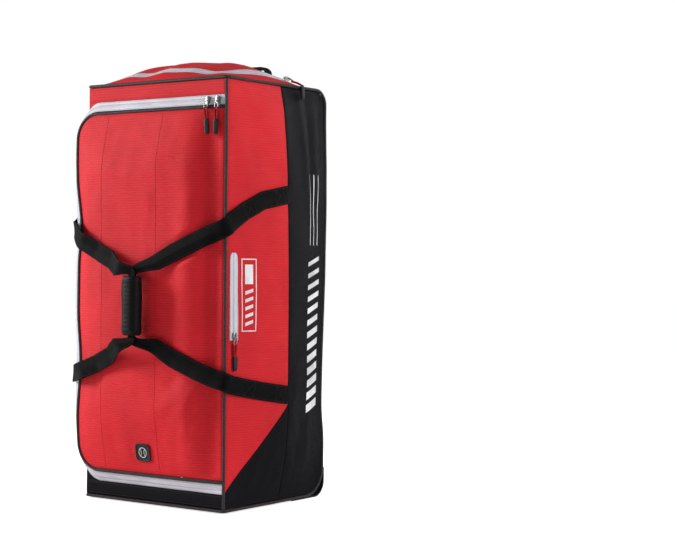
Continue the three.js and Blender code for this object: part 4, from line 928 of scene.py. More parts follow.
# Top: the U of its zip as shares and lengths of a straight run, a corner, the front, a corner
# and a straight run
U_ENDS = (0, 0.28, 0.4, 0.6, 0.72, 1)
U_LENGTHS = (180, 60, 240, 60, 180)
TOP_RIM_RUN = 720


def top_place(inset, radius, share):
    """A place on a U that runs forward on the right, across the front and back on the left."""
    side_x, front_y = HALF_WIDTH - inset, -HALF_DEPTH + inset
    part = np.clip(np.searchsorted(U_ENDS, share, side="left") - 1, 0, 4)
    low, high = np.array(U_ENDS)[part], np.array(U_ENDS)[part + 1]
    t = (share - low) / (high - low)
    turn = t * math.pi / 2
    x = np.choose(part, [
        side_x + 0 * t,
        side_x - radius * (1 - np.cos(turn)),
        lerp(side_x - radius, radius - side_x, t),
        radius - side_x - radius * np.sin(turn),
        -side_x + 0 * t,
    ])
    y = np.choose(part, [
        lerp(TOP_ZIP_REAR_Y, front_y + radius, t),
        front_y + radius * (1 - np.sin(turn)),
        front_y + 0 * t,
        front_y + radius * (1 - np.cos(turn)),
        lerp(front_y + radius, TOP_ZIP_REAR_Y, t),
    ])
    return x, y


def u_shares(step):
    """Shares along the U, with the round corners finer than the straight runs."""
    parts = zip(U_ENDS, U_ENDS[1:], U_LENGTHS)
    shares = [np.linspace(a, b, max(int(length / step), 3) + 1)[:-1] for a, b, length in parts]
    return np.concatenate([*shares, [1.0]])


def ring(outer, inner):
    def surface(u, v):
        ox, oy = top_place(*outer, u)
        ix, iy = top_place(*inner, u)
        return top_point(lerp(ox, ix, v), lerp(oy, iy, v))

    return surface


def top_flat(points):
    return points[..., :2]


FLAP_RADIUS = TOP_ZIP_CORNER - ZIP_TAPE_WIDTH
FLAP_INSET = TOP_ZIP_INSET + ZIP_TAPE_WIDTH + 3 * SEAM_GAP


def add_top():
    rim = ring((EDGE_INSET, 9), (TOP_ZIP_INSET - SEAM_GAP, TOP_ZIP_CORNER))
    size = (TOP_RIM_RUN, TOP_ZIP_INSET - EDGE_INSET)
    rim_cloth = Cloth(rim, *size, top_flat, seed=81, dents=0.5, size=40)
    panel("top_rim_cloth", rim_cloth, "top_rim_band", "red", u=u_shares(5))
    low, high = -HALF_DEPTH + FLAP_INSET, TOP_ZIP_REAR_Y
    rows = corner_rows(low, high, FLAP_RADIUS, 0.01, 5)
    shares = np.unique((rows - low) / (high - low))

    def flap(u, v):
        y = lerp(low, high, v)
        cut = corner_cut(y, low, high, FLAP_RADIUS, 0.01)
        reach = HALF_WIDTH - FLAP_INSET - cut
        return top_point(lerp(-reach, reach, u), y)

    folds = [
        ((-120, -90), (-40, -40), 22, 2.2), ((-60, -110), (-20, -30), 16, -2.4),
        ((40, -115), (80, 20), 20, -1.8), ((90, -60), (40, 60), 18, 1.6),
        ((-100, 60), (-10, 30), 20, 1.4),
    ]
    size = (2 * (HALF_WIDTH - FLAP_INSET), high - low)
    flap_cloth = Cloth(flap, *size, top_flat, seed=82, dents=1.8, size=70, folds=folds)
    panel("top_flap_cloth", flap_cloth, "top_flap", "red", v=shares)
    rear_end = HALF_DEPTH - TOP_BACK_RADIUS

    def rear(u, v):
        reach = HALF_WIDTH - EDGE_INSET
        y = lerp(TOP_ZIP_REAR_Y + SEAM_GAP, rear_end - 2 * SEAM_GAP, v)
        return top_point(lerp(-reach, reach, u), y)

    size = (2 * HALF_WIDTH, rear_end - TOP_ZIP_REAR_Y)
    rear_cloth = Cloth(rear, *size, top_flat, seed=83, dents=0.7, size=50)
    panel("top_rear_cloth", rear_cloth, "top_rear_panel", "black")


# Back, lower band and base
housing_low, housing_high = box_mm("wheel_housing_right")
HOUSING_INNER, HOUSING_FRONT, HOUSING_TOP = housing_low[0], housing_low[1], housing_high[2]


def hung_cloth(path_y, path_z, reach, waisted, **settings):
    """A cloth that is level across and follows a path of Y and Z, and the shares of its rows."""
    length = np.concatenate([[0], np.cumsum(np.hypot(np.diff(path_y), np.diff(path_z)))])

    def surface(u, v):
        x = lerp(-reach, reach, u)
        y, z = (np.interp(v * length[-1], length, path) for path in (path_y, path_z))
        return stacked(x, y + waisted * waist(x, y, z), z)

    def flat(points):
        height = np.linspace(0, 1, points.shape[0])[:, None]
        return np.stack([points[..., 0], np.broadcast_to(height * length[-1], points.shape[:2])], -1)

    return Cloth(surface, 2 * reach, length[-1], flat, **settings), length / length[-1]


def add_back():
    turn = np.linspace(0, math.pi / 2, 13)
    arc_y = HALF_DEPTH - TOP_BACK_RADIUS + TOP_BACK_RADIUS * np.sin(turn)
    arc_z = BODY_HEIGHT - TOP_BACK_RADIUS * (1 - np.cos(turn))
    fall = np.linspace(arc_z[-1], HOUSING_TOP + 2 * SEAM_GAP, 150)[1:]
    path_y = np.concatenate([arc_y, np.full(len(fall), HALF_DEPTH)])
    path_z = np.concatenate([arc_z, fall])
    folds = [((-180, 65), (180, 65), 1.8, -0.8)]
    reach = HALF_WIDTH - EDGE_INSET
    cloth, rows = hung_cloth(path_y, path_z, reach, 1, seed=91, dents=0.9, size=110, folds=folds)
    panel("back_cloth", cloth, "back_panel", "black", v=rows)


def add_lower_band():
    radius = BOTTOM_BACK_RADIUS
    down = np.linspace(HOUSING_TOP + SEAM_GAP, radius, 18)
    turn = np.linspace(0, math.pi / 2, 20)[1:]
    path_y = np.concatenate([np.full(18, HALF_DEPTH), HALF_DEPTH - radius * (1 - np.cos(turn))])
    path_z = np.concatenate([down, radius * (1 - np.sin(turn))])
    run = np.linspace(path_y[-1], HOUSING_FRONT, 12)[1:]
    path_y, path_z = np.concatenate([path_y, run]), np.concatenate([path_z, np.zeros(11)])
    reach = HOUSING_INNER - SEAM_GAP
    cloth, rows = hung_cloth(path_y, path_z, reach, 0, seed=92, dents=0, hem=0)
    panel("back_lower_cloth", cloth, "back_lower_band", "black", v=rows)


def add_base():
    reach = HALF_WIDTH - EDGE_INSET

    def surface(u, v):
        x = lerp(-reach, reach, u)
        y = lerp(HOUSING_FRONT - SEAM_GAP, -HALF_DEPTH + EDGE_INSET, v)
        near = np.minimum(HALF_WIDTH - np.abs(x), y + HALF_DEPTH)
        return stacked(x, y, BASE_RISE * (1 - smoothstep(near, EDGE_INSET, BASE_ROLL)))

    cloth = Cloth(surface, 2 * reach, HOUSING_FRONT + HALF_DEPTH, top_flat, seed=93, dents=0, hem=0)
    panel("base_cloth", cloth, "base_panel", "red", stitched="")


# Lofted and round pieces
def ring_faces(rings, size, closed):
    """Faces between rings of points, with both ends filled unless the rings close on themselves."""
    spans = rings if closed else rings - 1
    first = np.arange(spans)[:, None] * size
    following = (np.arange(spans)[:, None] + 1) % rings * size
    k = np.arange(size)
    m = (k + 1) % size
    quads = np.stack([first + k, first + m, following + m, following + k], -1).reshape(-1, 4)
    faces = quads.tolist()
    if not closed:
        last = (rings - 1) * size
        faces += [list(range(size - 1, -1, -1)), list(range(last, last + size))]
    return faces


def loft(name, rings, across=None, closed=False):
    """A closed solid through rings of equal count. across gives the cloth map around a ring."""
    rings = np.asarray(rings, float)
    count, size = rings.shape[:2]
    middle = rings.mean(1)
    length = lengths_along(middle)
    if across is None:
        around = np.linalg.norm(rings[0] - np.roll(rings[0], 1, axis=0), axis=1)
        across = np.cumsum(around)
    uv = np.stack(np.broadcast_arrays(np.asarray(across)[None, :], length[:, None]), -1)
    faces = ring_faces(count, size, closed)
    smooth = np.ones(len(faces), bool)
    if not closed:
        smooth[-2:] = False
    made = mesh_object(name, rings.reshape(-1, 3), faces, uv.reshape(-1, 2), smooth)
    return turned_outwards(made)


def turned_outwards(made):
    """Turns a closed mesh's faces outwards."""
    grid = bmesh.new()
    grid.from_mesh(made.data)
    bmesh.ops.recalc_face_normals(grid, faces=grid.faces)
    grid.to_mesh(made.data)
    grid.free()
    return made


def path_frames(path, first_up, closed):
    """Directions along, up and across a path, turned as little as possible from point to point."""
    path = np.asarray(path, float)
    before = np.roll(path, 1, axis=0)
    after = np.roll(path, -1, axis=0)
    if not closed:
        before[0], after[-1] = path[0], path[-1]
    along = unit(after - before)
    up = np.array(first_up, float)
    ups = []
    for direction in along:
        up = unit(up - direction * (up @ direction))
        ups.append(up)
    return along, np.array(ups), np.cross(along, ups)


def tube(name, path, radius, material, *nodes, up, sides=12, closed=False, slot=None):
    _, ups, across = path_frames(path, up, closed)
    angle = np.arange(sides) * TURN / sides
    radius = np.broadcast_to(np.asarray(radius, float), (len(path),))
    rings = (
        np.asarray(path, float)[:, None]
        + radius[:, None, None] * np.cos(angle)[None, :, None] * ups[:, None]
        + radius[:, None, None] * np.sin(angle)[None, :, None] * across[:, None]
    )
    made = loft(name, rings, angle * radius.mean(), closed)
    return finish_piece(made, material, *nodes, slot=slot)


PIPING_STEP = 3.5


def even_path(points):
    """Points of a path at an even spacing."""
    points = np.asarray(points, float)
    length = lengths_along(points)
    at = np.linspace(0, length[-1], max(int(length[-1] / PIPING_STEP), 2) + 1)
    return read_at(at, length, points)


def catmull_rom(points, shares):
    """A centripetal curve through points, read at shares of its spans."""
    points = np.asarray(points, float)
    last = len(points) - 1
    padded = np.concatenate([[2 * points[0] - points[1]], points, [2 * points[-1] - points[-2]]])
    i = np.minimum((shares * last).astype(int), last - 1)
    t = (shares * last - i)[:, None]
    p0, p1, p2, p3 = (padded[i + k] for k in range(4))
    spans = (p1 - p0, p2 - p1, p3 - p2)
    d0, d1, d2 = (np.sqrt(np.linalg.norm(span, axis=1))[:, None] for span in spans)
    start = ((p1 - p0) / d0 - (p2 - p0) / (d0 + d1) + (p2 - p1) / d1) * d1
    end = ((p2 - p1) / d1 - (p3 - p1) / (d1 + d2) + (p3 - p2) / d2) * d1
    return (
        p1 + start * t + (-3 * p1 + 3 * p2 - 2 * start - end) * t**2
        + (2 * p1 - 2 * p2 + start + end) * t**3
    )


# Straps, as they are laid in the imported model
WEBBING = 38
WEBBING_THICKNESS = 1.8
WEBBING_LIFT = 0.9
STACK_GAP = 4
LEFT_SLACK = 2.8
STRAP_TOP_END = 653
STRAP_BOTTOM_END = 233
WRAP_WIDTH = 42
WRAP_DEPTH = 34
WRAP_WALL = 9
WRAP_STAND_OFF = 9
GATHERED = WRAP_WIDTH - 2.4 * WRAP_WALL
wrap_low, wrap_high = box_mm("handle_wrap")
WRAP_BOTTOM, WRAP_TOP = wrap_low[2], wrap_high[2]
WRAP_MIDDLE = (WRAP_BOTTOM + WRAP_TOP) / 2
WRAP_Y = float(lid_y(HANDLE_X, WRAP_MIDDLE)) - WRAP_STAND_OFF - WRAP_DEPTH / 2
STRAP_RINGS = 260
STRAP_TURN_SPREAD = 8
STRAP_STITCH_INSET = 3
BOX_STITCH_INSET = 3.5

# Columns: what it lies on, place across, height of the right and left upper runs and of the
# lower runs as shares of the way from the wrap to the end, lift, width and stacking
STRAP_ROWS = (
    ("side", 0.985, 1, 1, 1, 0, 1, 0),
    ("side", 0.554, 0.913, 0.94, 0.905, 0, 1, 0),
    ("side", 0.28, 0.78, 0.82, 0.83, 0.03, 1, 0),
    ("side", 0.068, 0.655, 0.68, 0.765, 0.15, 1, 0),
    ("edge", 1, 0.59, 0.57, 0.72, 0, 1, 0),
    ("lid", 0.875, 0.51, 0.42, 0.65, 0.16, 1, 0),
    ("lid", 0.667, 0.405, 0.3, 0.52, 0.05, 1, 0),
    ("lid", 0.417, 0.28, 0.19, 0.36, 0.1, 1, 0.6),
    ("lid", 0.208, 0.16, 0.09, 0.17, 0.3, 0.9, 1),
)
# Where each strap goes round the body's edge: out to the side and forward, as shares of its width
EDGE_CROSSING = {1: ((0.1, 0.12),), -1: ((0.62, 0.05), (0.3, 0.46))}


def surface_normal(point_at, a, b, outward):
    first = point_at(a + 1.0, b) - point_at(a - 1.0, b)
    second = point_at(a, b + 1.0) - point_at(a, b - 1.0)
    normal = unit(np.cross(first, second))
    return -normal if normal @ np.array(outward) < 0 else normal


def filled_rows():
    rows = []
    for row, following in zip(STRAP_ROWS, STRAP_ROWS[1:] + (None,)):
        rows.append(row)
        if following and following[0] == row[0]:
            for t in (1 / 3, 2 / 3):
                mixed = [lerp(a, b, t) for a, b in zip(row[1:], following[1:])]
                rows.append((row[0], *mixed))
    return rows


def strap_stations(row, side, height):
    kind, across, _, _, _, lift, width, stack = row
    width *= WEBBING
    away = WEBBING_LIFT + WEBBING_THICKNESS / 2 + lift * WEBBING * (1 if side > 0 else LEFT_SLACK)
    mirror = np.array([side, 1, 1])
    if kind == "side":
        y = across * (COLOUR_SEAM_Y + HALF_DEPTH) - HALF_DEPTH
        face = surface_normal(side_point, y, height, (1, 0, 0))
        return [((side_point(y, height) + face * away) * mirror, face * mirror, width)]
    if kind == "edge":
        reach = PIPING if side > 0 else TAPE_START
        found = []
        for out, front in EDGE_CROSSING[side]:
            x = side * (HALF_WIDTH + reach + away + out * WEBBING)
            y = -HALF_DEPTH - away - front * WEBBING
            found.append((np.array([x, y, height]), unit([side * (out + 0.1), -front - 0.1, 0]), width))
        return found
    x = side * across * HALF_WIDTH
    face = surface_normal(lid_point, x, height, (0, -1, 0))
    point = lid_point(x, height) + face * away
    point[1] += stack * side * (WEBBING_THICKNESS + STACK_GAP) / 2
    return [(point, face, width)]


def strap_course(side):
    """Middle points, crosswise and outward directions and half widths along a strap."""
    rows = filled_rows()
    upper, lower = [], []
    for row in rows:
        share = row[2] if side > 0 else row[3]
        upper += strap_stations(row, side, lerp(WRAP_TOP, STRAP_TOP_END, share))
        lower += strap_stations(row, side, lerp(WRAP_BOTTOM, STRAP_BOTTOM_END, row[4]))
    stack_y = WRAP_Y + side * (WEBBING_THICKNESS + STACK_GAP) / 2
    heights = (
        WRAP_TOP + WRAP_WALL, WRAP_TOP - WRAP_WALL, WRAP_MIDDLE,
        WRAP_BOTTOM + WRAP_WALL, WRAP_BOTTOM - WRAP_WALL,
    )
    passing = [(np.array([HANDLE_X, stack_y, z]), np.array([0, -1.0, 0]), GATHERED) for z in heights]
    stations = upper + passing + lower[::-1]
    points, faces, widths = (np.array([s[k] for s in stations]) for k in range(3))
    shares = np.linspace(0, 1, STRAP_RINGS + 1)
    middle = catmull_rom(points, shares)
    along = unit(np.gradient(middle, axis=0))
    last = len(stations) - 1
    i = np.minimum((shares * last).astype(int), last - 1)
    t = (shares * last - i)[:, None]
    across = unit(np.cross(along, unit(lerp(faces[i], faces[i + 1], t))))
    spread = STRAP_TURN_SPREAD
    across = unit([across[max(k - spread, 0):k + spread + 1].sum(0) for k in range(len(across))])
    out = unit(np.cross(across, along))
    half = lerp(widths[i], widths[i + 1], t[:, 0]) / 2
    return middle, along, across, out, half


# Webbing's section: place across and height, as shares of half its width and thickness
WEBBING_SECTION = np.array([
    (-1, 0), (-0.985, 0.7), (-0.94, 1), (-0.5, 1.05), (0, 1.1), (0.5, 1.05), (0.94, 1), (0.985, 0.7),
    (1, 0), (0.985, -0.7), (0.94, -1), (0, -1), (-0.94, -1), (-0.985, -0.7),
])
BOX_STITCH = 28
# Places along a strap's course that carry a sewn box
BOX_PLACES = (6, 30, -7, -31)


def webbing_rings(middle, across, out, half_width, half_thick):
    """The webbing's section at each place of its course."""
    return (
        middle[:, None]
        + across[:, None] * (WEBBING_SECTION[:, 0] * half_width[:, None])[..., None]
        + out[:, None] * (WEBBING_SECTION[:, 1] * half_thick[:, None])[..., None]
    )


def box_stitches(middle, along, across, out, half, thick, length=BOX_STITCH):
    """A sewn box with a cross in it on the end of a webbing."""
    low, high = -length / 2, length / 2
    width = half - BOX_STITCH_INSET
    raised = out * (thick / 2 + 0.25)
    at = [middle + along * a + across * b + raised for a, b in
          ((low, -width), (low, width), (high, width), (high, -width))]
    for a, b in ((0, 1), (1, 2), (2, 3), (3, 0), (0, 2), (1, 3)):
        line = np.linspace(at[a], at[b], 12)
        sew(line, np.tile(out, (12, 1)), "black")


def add_straps():
    for side, name in ((1, "strap_right"), (-1, "strap_left")):
        middle, along, across, out, half = strap_course(side)
        random = np.random.default_rng(7 + side)
        place = np.linspace(0, 1, len(middle))
        curl = sum(
            random.uniform(-0.5, 0.5) * np.sin(TURN * (k * place + random.uniform()))
            for k in (3, 7, 11)
        )
        rings = webbing_rings(middle, across, out, half, np.full(len(middle), WEBBING_THICKNESS / 2))
        rings += out[:, None] * (curl[:, None] * WEBBING_SECTION[:, 0] ** 2)[..., None]
        made = loft(f"{name}_webbing", rings, WEBBING_SECTION[:, 0] * WEBBING / 2)
        finish_piece(made, strap_cloth, name)
        pressed_places.append((middle, WEBBING / 2))
        for edge in (-1, 1):
            inset = edge * (half - STRAP_STITCH_INSET)
            line = middle + across * inset[:, None] + out * (WEBBING_THICKNESS / 2 + 0.15)
            wrapped = (middle[:, 2] > WRAP_BOTTOM - 4) & (middle[:, 2] < WRAP_TOP + 4)
            first, last = int(np.argmax(wrapped)), len(wrapped) - int(np.argmax(wrapped[::-1]))
            for part in (slice(0, first), slice(last, None)):
                sew(line[part], out[part], "black")
        for k in BOX_PLACES:
            box_stitches(middle[k], along[k], across[k], out[k], half[k], WEBBING_THICKNESS)


# Padded wrap round both straps
WRAP_ROLL = 7.0
WRAP_FLAP_OVERLAP = 8
WRAP_FLAP_HALF = 2.6
WRAP_FLAP_ROUNDING = 5


def superellipse(angle, width, depth, power=0.8):
    c, s = np.cos(angle), np.sin(angle)
    x = width / 2 * np.sign(c) * np.abs(c) ** power
    return x, depth / 2 * np.sign(s) * np.abs(s) ** power


def add_wrap():
    roll = WRAP_ROLL
    sides, roll_steps = 72, 9
    turn = np.linspace(0, math.pi, roll_steps)
    outer_z = np.linspace(WRAP_BOTTOM + roll, WRAP_TOP - roll, 34)
    loop = [(z, 1.0) for z in outer_z]
    loop += [(WRAP_TOP - roll + roll * math.sin(a), (1 + math.cos(a)) / 2) for a in turn[1:-1]]
    loop += [(z, 0.0) for z in outer_z[::-1][::3]]
    loop += [(WRAP_BOTTOM + roll - roll * math.sin(a), (1 - math.cos(a)) / 2) for a in turn[1:-1]]
    angle = np.arange(sides) * TURN / sides
    hole = (GATHERED + WRAP_WALL, WRAP_DEPTH - 2 * WRAP_WALL)
    rings = []
    for z, share in loop:
        up = (z - WRAP_MIDDLE) / (WRAP_TOP - WRAP_BOTTOM) * 2
        swell = 1 - 0.035 * share * up**2 + 0.012 * share * math.sin(5 * up)
        width = lerp(hole[0], WRAP_WIDTH, share) * swell
        depth = lerp(hole[1], WRAP_DEPTH, share) * swell
        x, y = superellipse(angle, width, depth)
        rings.append(stacked(HANDLE_X + x, WRAP_Y + y, z))
    rings = np.array(rings)
    outward = unit((rings - np.array([HANDLE_X, WRAP_Y, 0])) * np.array([1, 1, 0]))
    rings += outward * (0.55 * soft_noise(rings, 17, 26))[..., None]
    made = loft("wrap_padding", rings, np.cumsum(np.full(sides, 1.6)), closed=True)
    finish_piece(made, wrap_cloth, "handle_wrap")
    add_wrap_flap()
    for z in (WRAP_BOTTOM + roll + 2, WRAP_TOP - roll - 2):
        width, depth = WRAP_WIDTH * 0.985 + 1.2, WRAP_DEPTH * 0.985 + 1.2
        x, y = superellipse(np.linspace(0, TURN, 60), width, depth)
        sew(stacked(HANDLE_X + x, WRAP_Y + y, z), stacked(x, y, 0 * x), "black")


def flap_wave(z):
    """How far the flap's edge wavers at a height."""
    return 0.9 * np.sin(z / 15)


def add_wrap_flap():
    """The flap that closes the wrap, with a rounded edge, along its left side."""
    middle_y, bend = WRAP_Y + WRAP_DEPTH / 5, WRAP_FLAP_ROUNDING
    low = np.array([wrap_low[0], middle_y - WRAP_FLAP_HALF, WRAP_BOTTOM + WRAP_ROLL])
    right = HANDLE_X - WRAP_WIDTH / 2 + WRAP_FLAP_OVERLAP
    high = np.array([right, middle_y + WRAP_FLAP_HALF, WRAP_TOP - WRAP_ROLL])
    heights = np.concatenate([
        low[2] + bend * (1 - np.cos(np.linspace(0, math.pi / 2, 6))),
        np.linspace(low[2] + bend, high[2] - bend, 30)[1:-1],
        high[2] - bend * (1 - np.cos(np.linspace(math.pi / 2, 0, 6))),
    ])
    angle = np.arange(28) * TURN / 28
    centre = (low + high) / 2
    rings = []
    for z in heights:
        end = np.clip(min(z - low[2], high[2] - z) / bend, 0.12, 1)
        rounding = math.sqrt(1 - (1 - end) ** 2)
        width = high[0] - low[0] - 8 * (1 - rounding)
        x, y = superellipse(angle, width, (high[1] - low[1]) * rounding, 0.35)
        wave = flap_wave(z) * (x < 0)
        rings.append(stacked(centre[0] + x + 4 * (1 - rounding), centre[1] + y + wave, z))
    made = loft("wrap_flap", rings, x + y)
    finish_piece(made, wrap_cloth, "handle_wrap")
    edge_z = np.linspace(low[2] + 6, high[2] - 6, 30)
    line = stacked(low[0] + 4, low[1] - 0.2 + flap_wave(edge_z), edge_z)
    sew(line, np.tile([0, -1.0, 0], (30, 1)), "black")


# Piping
def wavy(path, seed, amount=0.25):
    return path + amount * np.stack([soft_noise(path, seed + k, 55) for k in range(3)], -1)


def side_piping_path():
    turn = np.linspace(0, math.pi / 2, 16)
    back_y = HALF_DEPTH
    top = (back_y - TOP_BACK_RADIUS, BODY_HEIGHT - TOP_BACK_RADIUS)
    low = (back_y - BOTTOM_BACK_RADIUS, BASE_RISE + BOTTOM_BACK_RADIUS)
    rows = [(-HALF_DEPTH + 2 * EDGE_INSET - SEAM_GAP, BODY_HEIGHT)]
    radius = TOP_BACK_RADIUS
    rows += [(top[0] + radius * math.sin(a), top[1] + radius * math.cos(a)) for a in turn]
    radius = BOTTOM_BACK_RADIUS
    rows += [(low[0] + radius * math.cos(a), low[1] - radius * math.sin(a)) for a in turn]
    rows += [(-HALF_DEPTH + 2 * EDGE_INSET - SEAM_GAP, BASE_RISE)]
    path = even_path([(HALF_WIDTH, y, z) for y, z in rows])
    path[:, 1] += waist(path[:, 0], path[:, 1], path[:, 2])
    return path


def add_body_piping():
    path = side_piping_path()
    for side, name in ((1, "right"), (-1, "left")):
        mirrored = wavy(path * np.array([side, 1, 1]), 20 + side)
        tube(f"side_{name}_cord", mirrored, PIPING, piping_cloth, f"side_{name}_piping", up=(side, 0, 0))
    upright = [(HALF_WIDTH, -HALF_DEPTH, SIDE_LOW), (HALF_WIDTH, -HALF_DEPTH, SIDE_HIGH)]
    tube("front_edge_cord", wavy(even_path(upright), 31), PIPING, piping_cloth,
         "front_edge_piping", up=(1, -1, 0))
    radius = 2 * EDGE_INSET - SEAM_GAP
    turn = np.linspace(0, math.pi / 2, 7)
    x, y = HALF_WIDTH - radius, -HALF_DEPTH + radius
    bend = [(x + radius * math.cos(a), y - radius * math.sin(a)) for a in turn]
    corners = [(-x, y) for x, y in bend] + bend[::-1]
    for name, z in (("top_front", BODY_HEIGHT), ("base_front", BASE_RISE)):
        level = even_path([(x, y, z) for x, y in corners])
        tube(f"{name}_cord", wavy(level, 33), PIPING, piping_cloth, f"{name}_piping", up=(0, -1, 0))


def lid_edge():
    """Places along the lid's free edge, and the direction away from the lid at each."""
    r = LID_CORNER
    step = 4
    turn = np.linspace(0, math.pi / 2, 22)[1:]
    top_left = float(lid_left(LID_TOP - r)) + r
    low_left = float(lid_left(LID_BOTTOM + r)) + r
    run = np.linspace(LID_RIGHT, top_left, int((LID_RIGHT - top_left) / step))
    parts = [stacked(run, LID_TOP, 0)]
    outs = [stacked(0 * run, 1, 0)]
    z = LID_TOP - r + r * np.cos(turn)
    parts.append(stacked(lid_left(z) + r * (1 - np.sin(turn)), z, 0))
    outs.append(stacked(-np.sin(turn), np.cos(turn), 0))
    z = np.linspace(LID_TOP - r, LID_BOTTOM + r, int((LID_TOP - LID_BOTTOM) / step))[1:]
    parts.append(stacked(lid_left(z), z, 0))
    outs.append(stacked(-1 + 0 * z, 0, 0))
    z = LID_BOTTOM + r - r * np.sin(turn)
    parts.append(stacked(lid_left(z) + r * (1 - np.cos(turn)), z, 0))
    outs.append(stacked(-np.cos(turn), -np.sin(turn), 0))
    run = np.linspace(low_left, LID_RIGHT, int((LID_RIGHT - low_left) / step))[1:]
    parts.append(stacked(run, LID_BOTTOM, 0))
    outs.append(stacked(0 * run, -1, 0))
    places, directions = np.concatenate(parts), np.concatenate(outs)
    return places[:, 0], places[:, 1], directions[:, 0], directions[:, 1]


# Zips
COIL_WIDTH = 2.3
COIL_HEIGHT = 1.0
# Places across a zip, from its middle, and as shares of its width
ZIP_HALF = np.array([1.2, 2, 2.8, 3.7, 4.6, 5.6, 7, 8.2, 9.4, 10])
ZIP_ACROSS = np.concatenate([-ZIP_HALF[::-1], [0], ZIP_HALF])
ZIP_SHARES = (ZIP_ACROSS + ZIP_TAPE_WIDTH / 2) / ZIP_TAPE_WIDTH
# Slack of the tape beside the lid, and the heights where it starts and ends
TAPE_SLACK = 11
SLACK_START = (140, 260)
SLACK_END = (600, 720)


def normals_facing(points, outward):
    normals = grid_normals(points)
    return -normals if (normals * outward).sum() < 0 else normals


def zip_strip(name, points, node, outward, seed, soft):
    """Two tapes and the coil between them, on a grid of points with a column for each place across."""
    across = ZIP_ACROSS
    normals = normals_facing(points, outward)
    edge = across.max() - np.abs(across)
    lift = COIL_HEIGHT * np.exp(-((across / COIL_WIDTH) ** 4))
    lift = lift - 0.35 * np.exp(-(((np.abs(across) - 1.6 * COIL_WIDTH) / 0.8) ** 2))
    waves = soft * soft_noise(points, seed, 40) * smoothstep(edge, 0, 5)
    lifted = points + normals * (lift + waves)[..., None]
    middle = points[:, points.shape[1] // 2]
    length = lengths_along(middle)
    flat = np.stack(np.broadcast_arrays(across[None, :], length[:, None]), -1)
    made = shell(name, lifted, normals, ZIP_TAPE, flat, np.broadcast_to(edge, points.shape[:2]))
    finish_piece(made, silver_tape, node)
    normals = normals_facing(lifted, outward)
    for k in (2, -3):
        sew(lifted[:, k] + normals[:, k] * 0.1, normals[:, k], "grey")


def add_lid_zip():
    x, z, out_x, out_z = lid_edge()
    piping = stacked(x + out_x * PIPING, lid_y(x, z) + CLOTH / 2, z + out_z * PIPING)
    tube("lid_cord", wavy(piping, 41, 0.3), PIPING, piping_cloth, "lid_piping", up=(0, -1, 0))
    on_side = out_x**2
    lid_side = stacked(
        x + out_x * (TAPE_START + on_side * ZIP_TAPE), lid_y(x, z) + CLOTH, z + out_z * TAPE_START
    )
    body_side = stacked(
        lerp(x, -HALF_WIDTH - 3 * SEAM_GAP - ZIP_TAPE, on_side),
        -HALF_DEPTH + on_side * (EDGE_INSET - 2 * SEAM_GAP),
        z + out_z * (TAPE_START + ZIP_TAPE_WIDTH),
    )
    middle = (lid_side + body_side) / 2
    belly = TAPE_BELLY * (1 + 0.25 * soft_noise(middle, 44, 110))
    belly += TAPE_SLACK * smoothstep(z, *SLACK_START) * (1 - smoothstep(z, *SLACK_END))
    middle[:, 0] += out_x * belly * on_side
    control = 2 * middle - (lid_side + body_side) / 2
    t = ZIP_SHARES[None, :, None]
    points = (
        lid_side[:, None] * (1 - t) ** 2
        + control[:, None] * 2 * t * (1 - t)
        + body_side[:, None] * t**2
    )
    outward = np.broadcast_to(stacked(out_x, -0.4 * (1 - on_side), out_z)[:, None], points.shape)
    zip_strip("lid_zip", points, "lid_zip_tape", outward, seed=45, soft=0.5)


def add_top_zip():
    shares = u_shares(4)
    surface = ring((TOP_ZIP_INSET, TOP_ZIP_CORNER), (TOP_ZIP_INSET + ZIP_TAPE_WIDTH, FLAP_RADIUS))
    u, v = np.meshgrid(shares, ZIP_SHARES, indexing="ij")
    points = surface(u, v)
    outward = np.broadcast_to(np.array([0, 0, 1.0]), points.shape)
    zip_strip("top_zip", points, "top_zip_tape", outward, seed=47, soft=0.8)


POCKET_Y = -HALF_DEPTH + 21
POCKET_STITCH_ACROSS = 12.5
POCKET_STITCH_END = 4
pocket_low, pocket_high = box_mm("pocket_zip_tape")
POCKET_LOW, POCKET_HIGH = pocket_low[2], pocket_high[2]


def side_front_shares(y, z):
    u = (y - SIDE_FRONT) / (COLOUR_SEAM_Y - SEAM_GAP - SIDE_FRONT)
    low = diagonal_height(y) + DIAGONAL_GAP
    return u, (z - low) / (SIDE_HIGH - low)


def side_rear_shares(y, z):
    cut = corner_cut(z, SIDE_LOW, SIDE_HIGH, LOW_RADIUS, HIGH_RADIUS)
    low = COLOUR_SEAM_Y + SEAM_GAP
    return (y - low) / (SIDE_BACK - cut - low), (z - SIDE_LOW) / (SIDE_HIGH - SIDE_LOW)


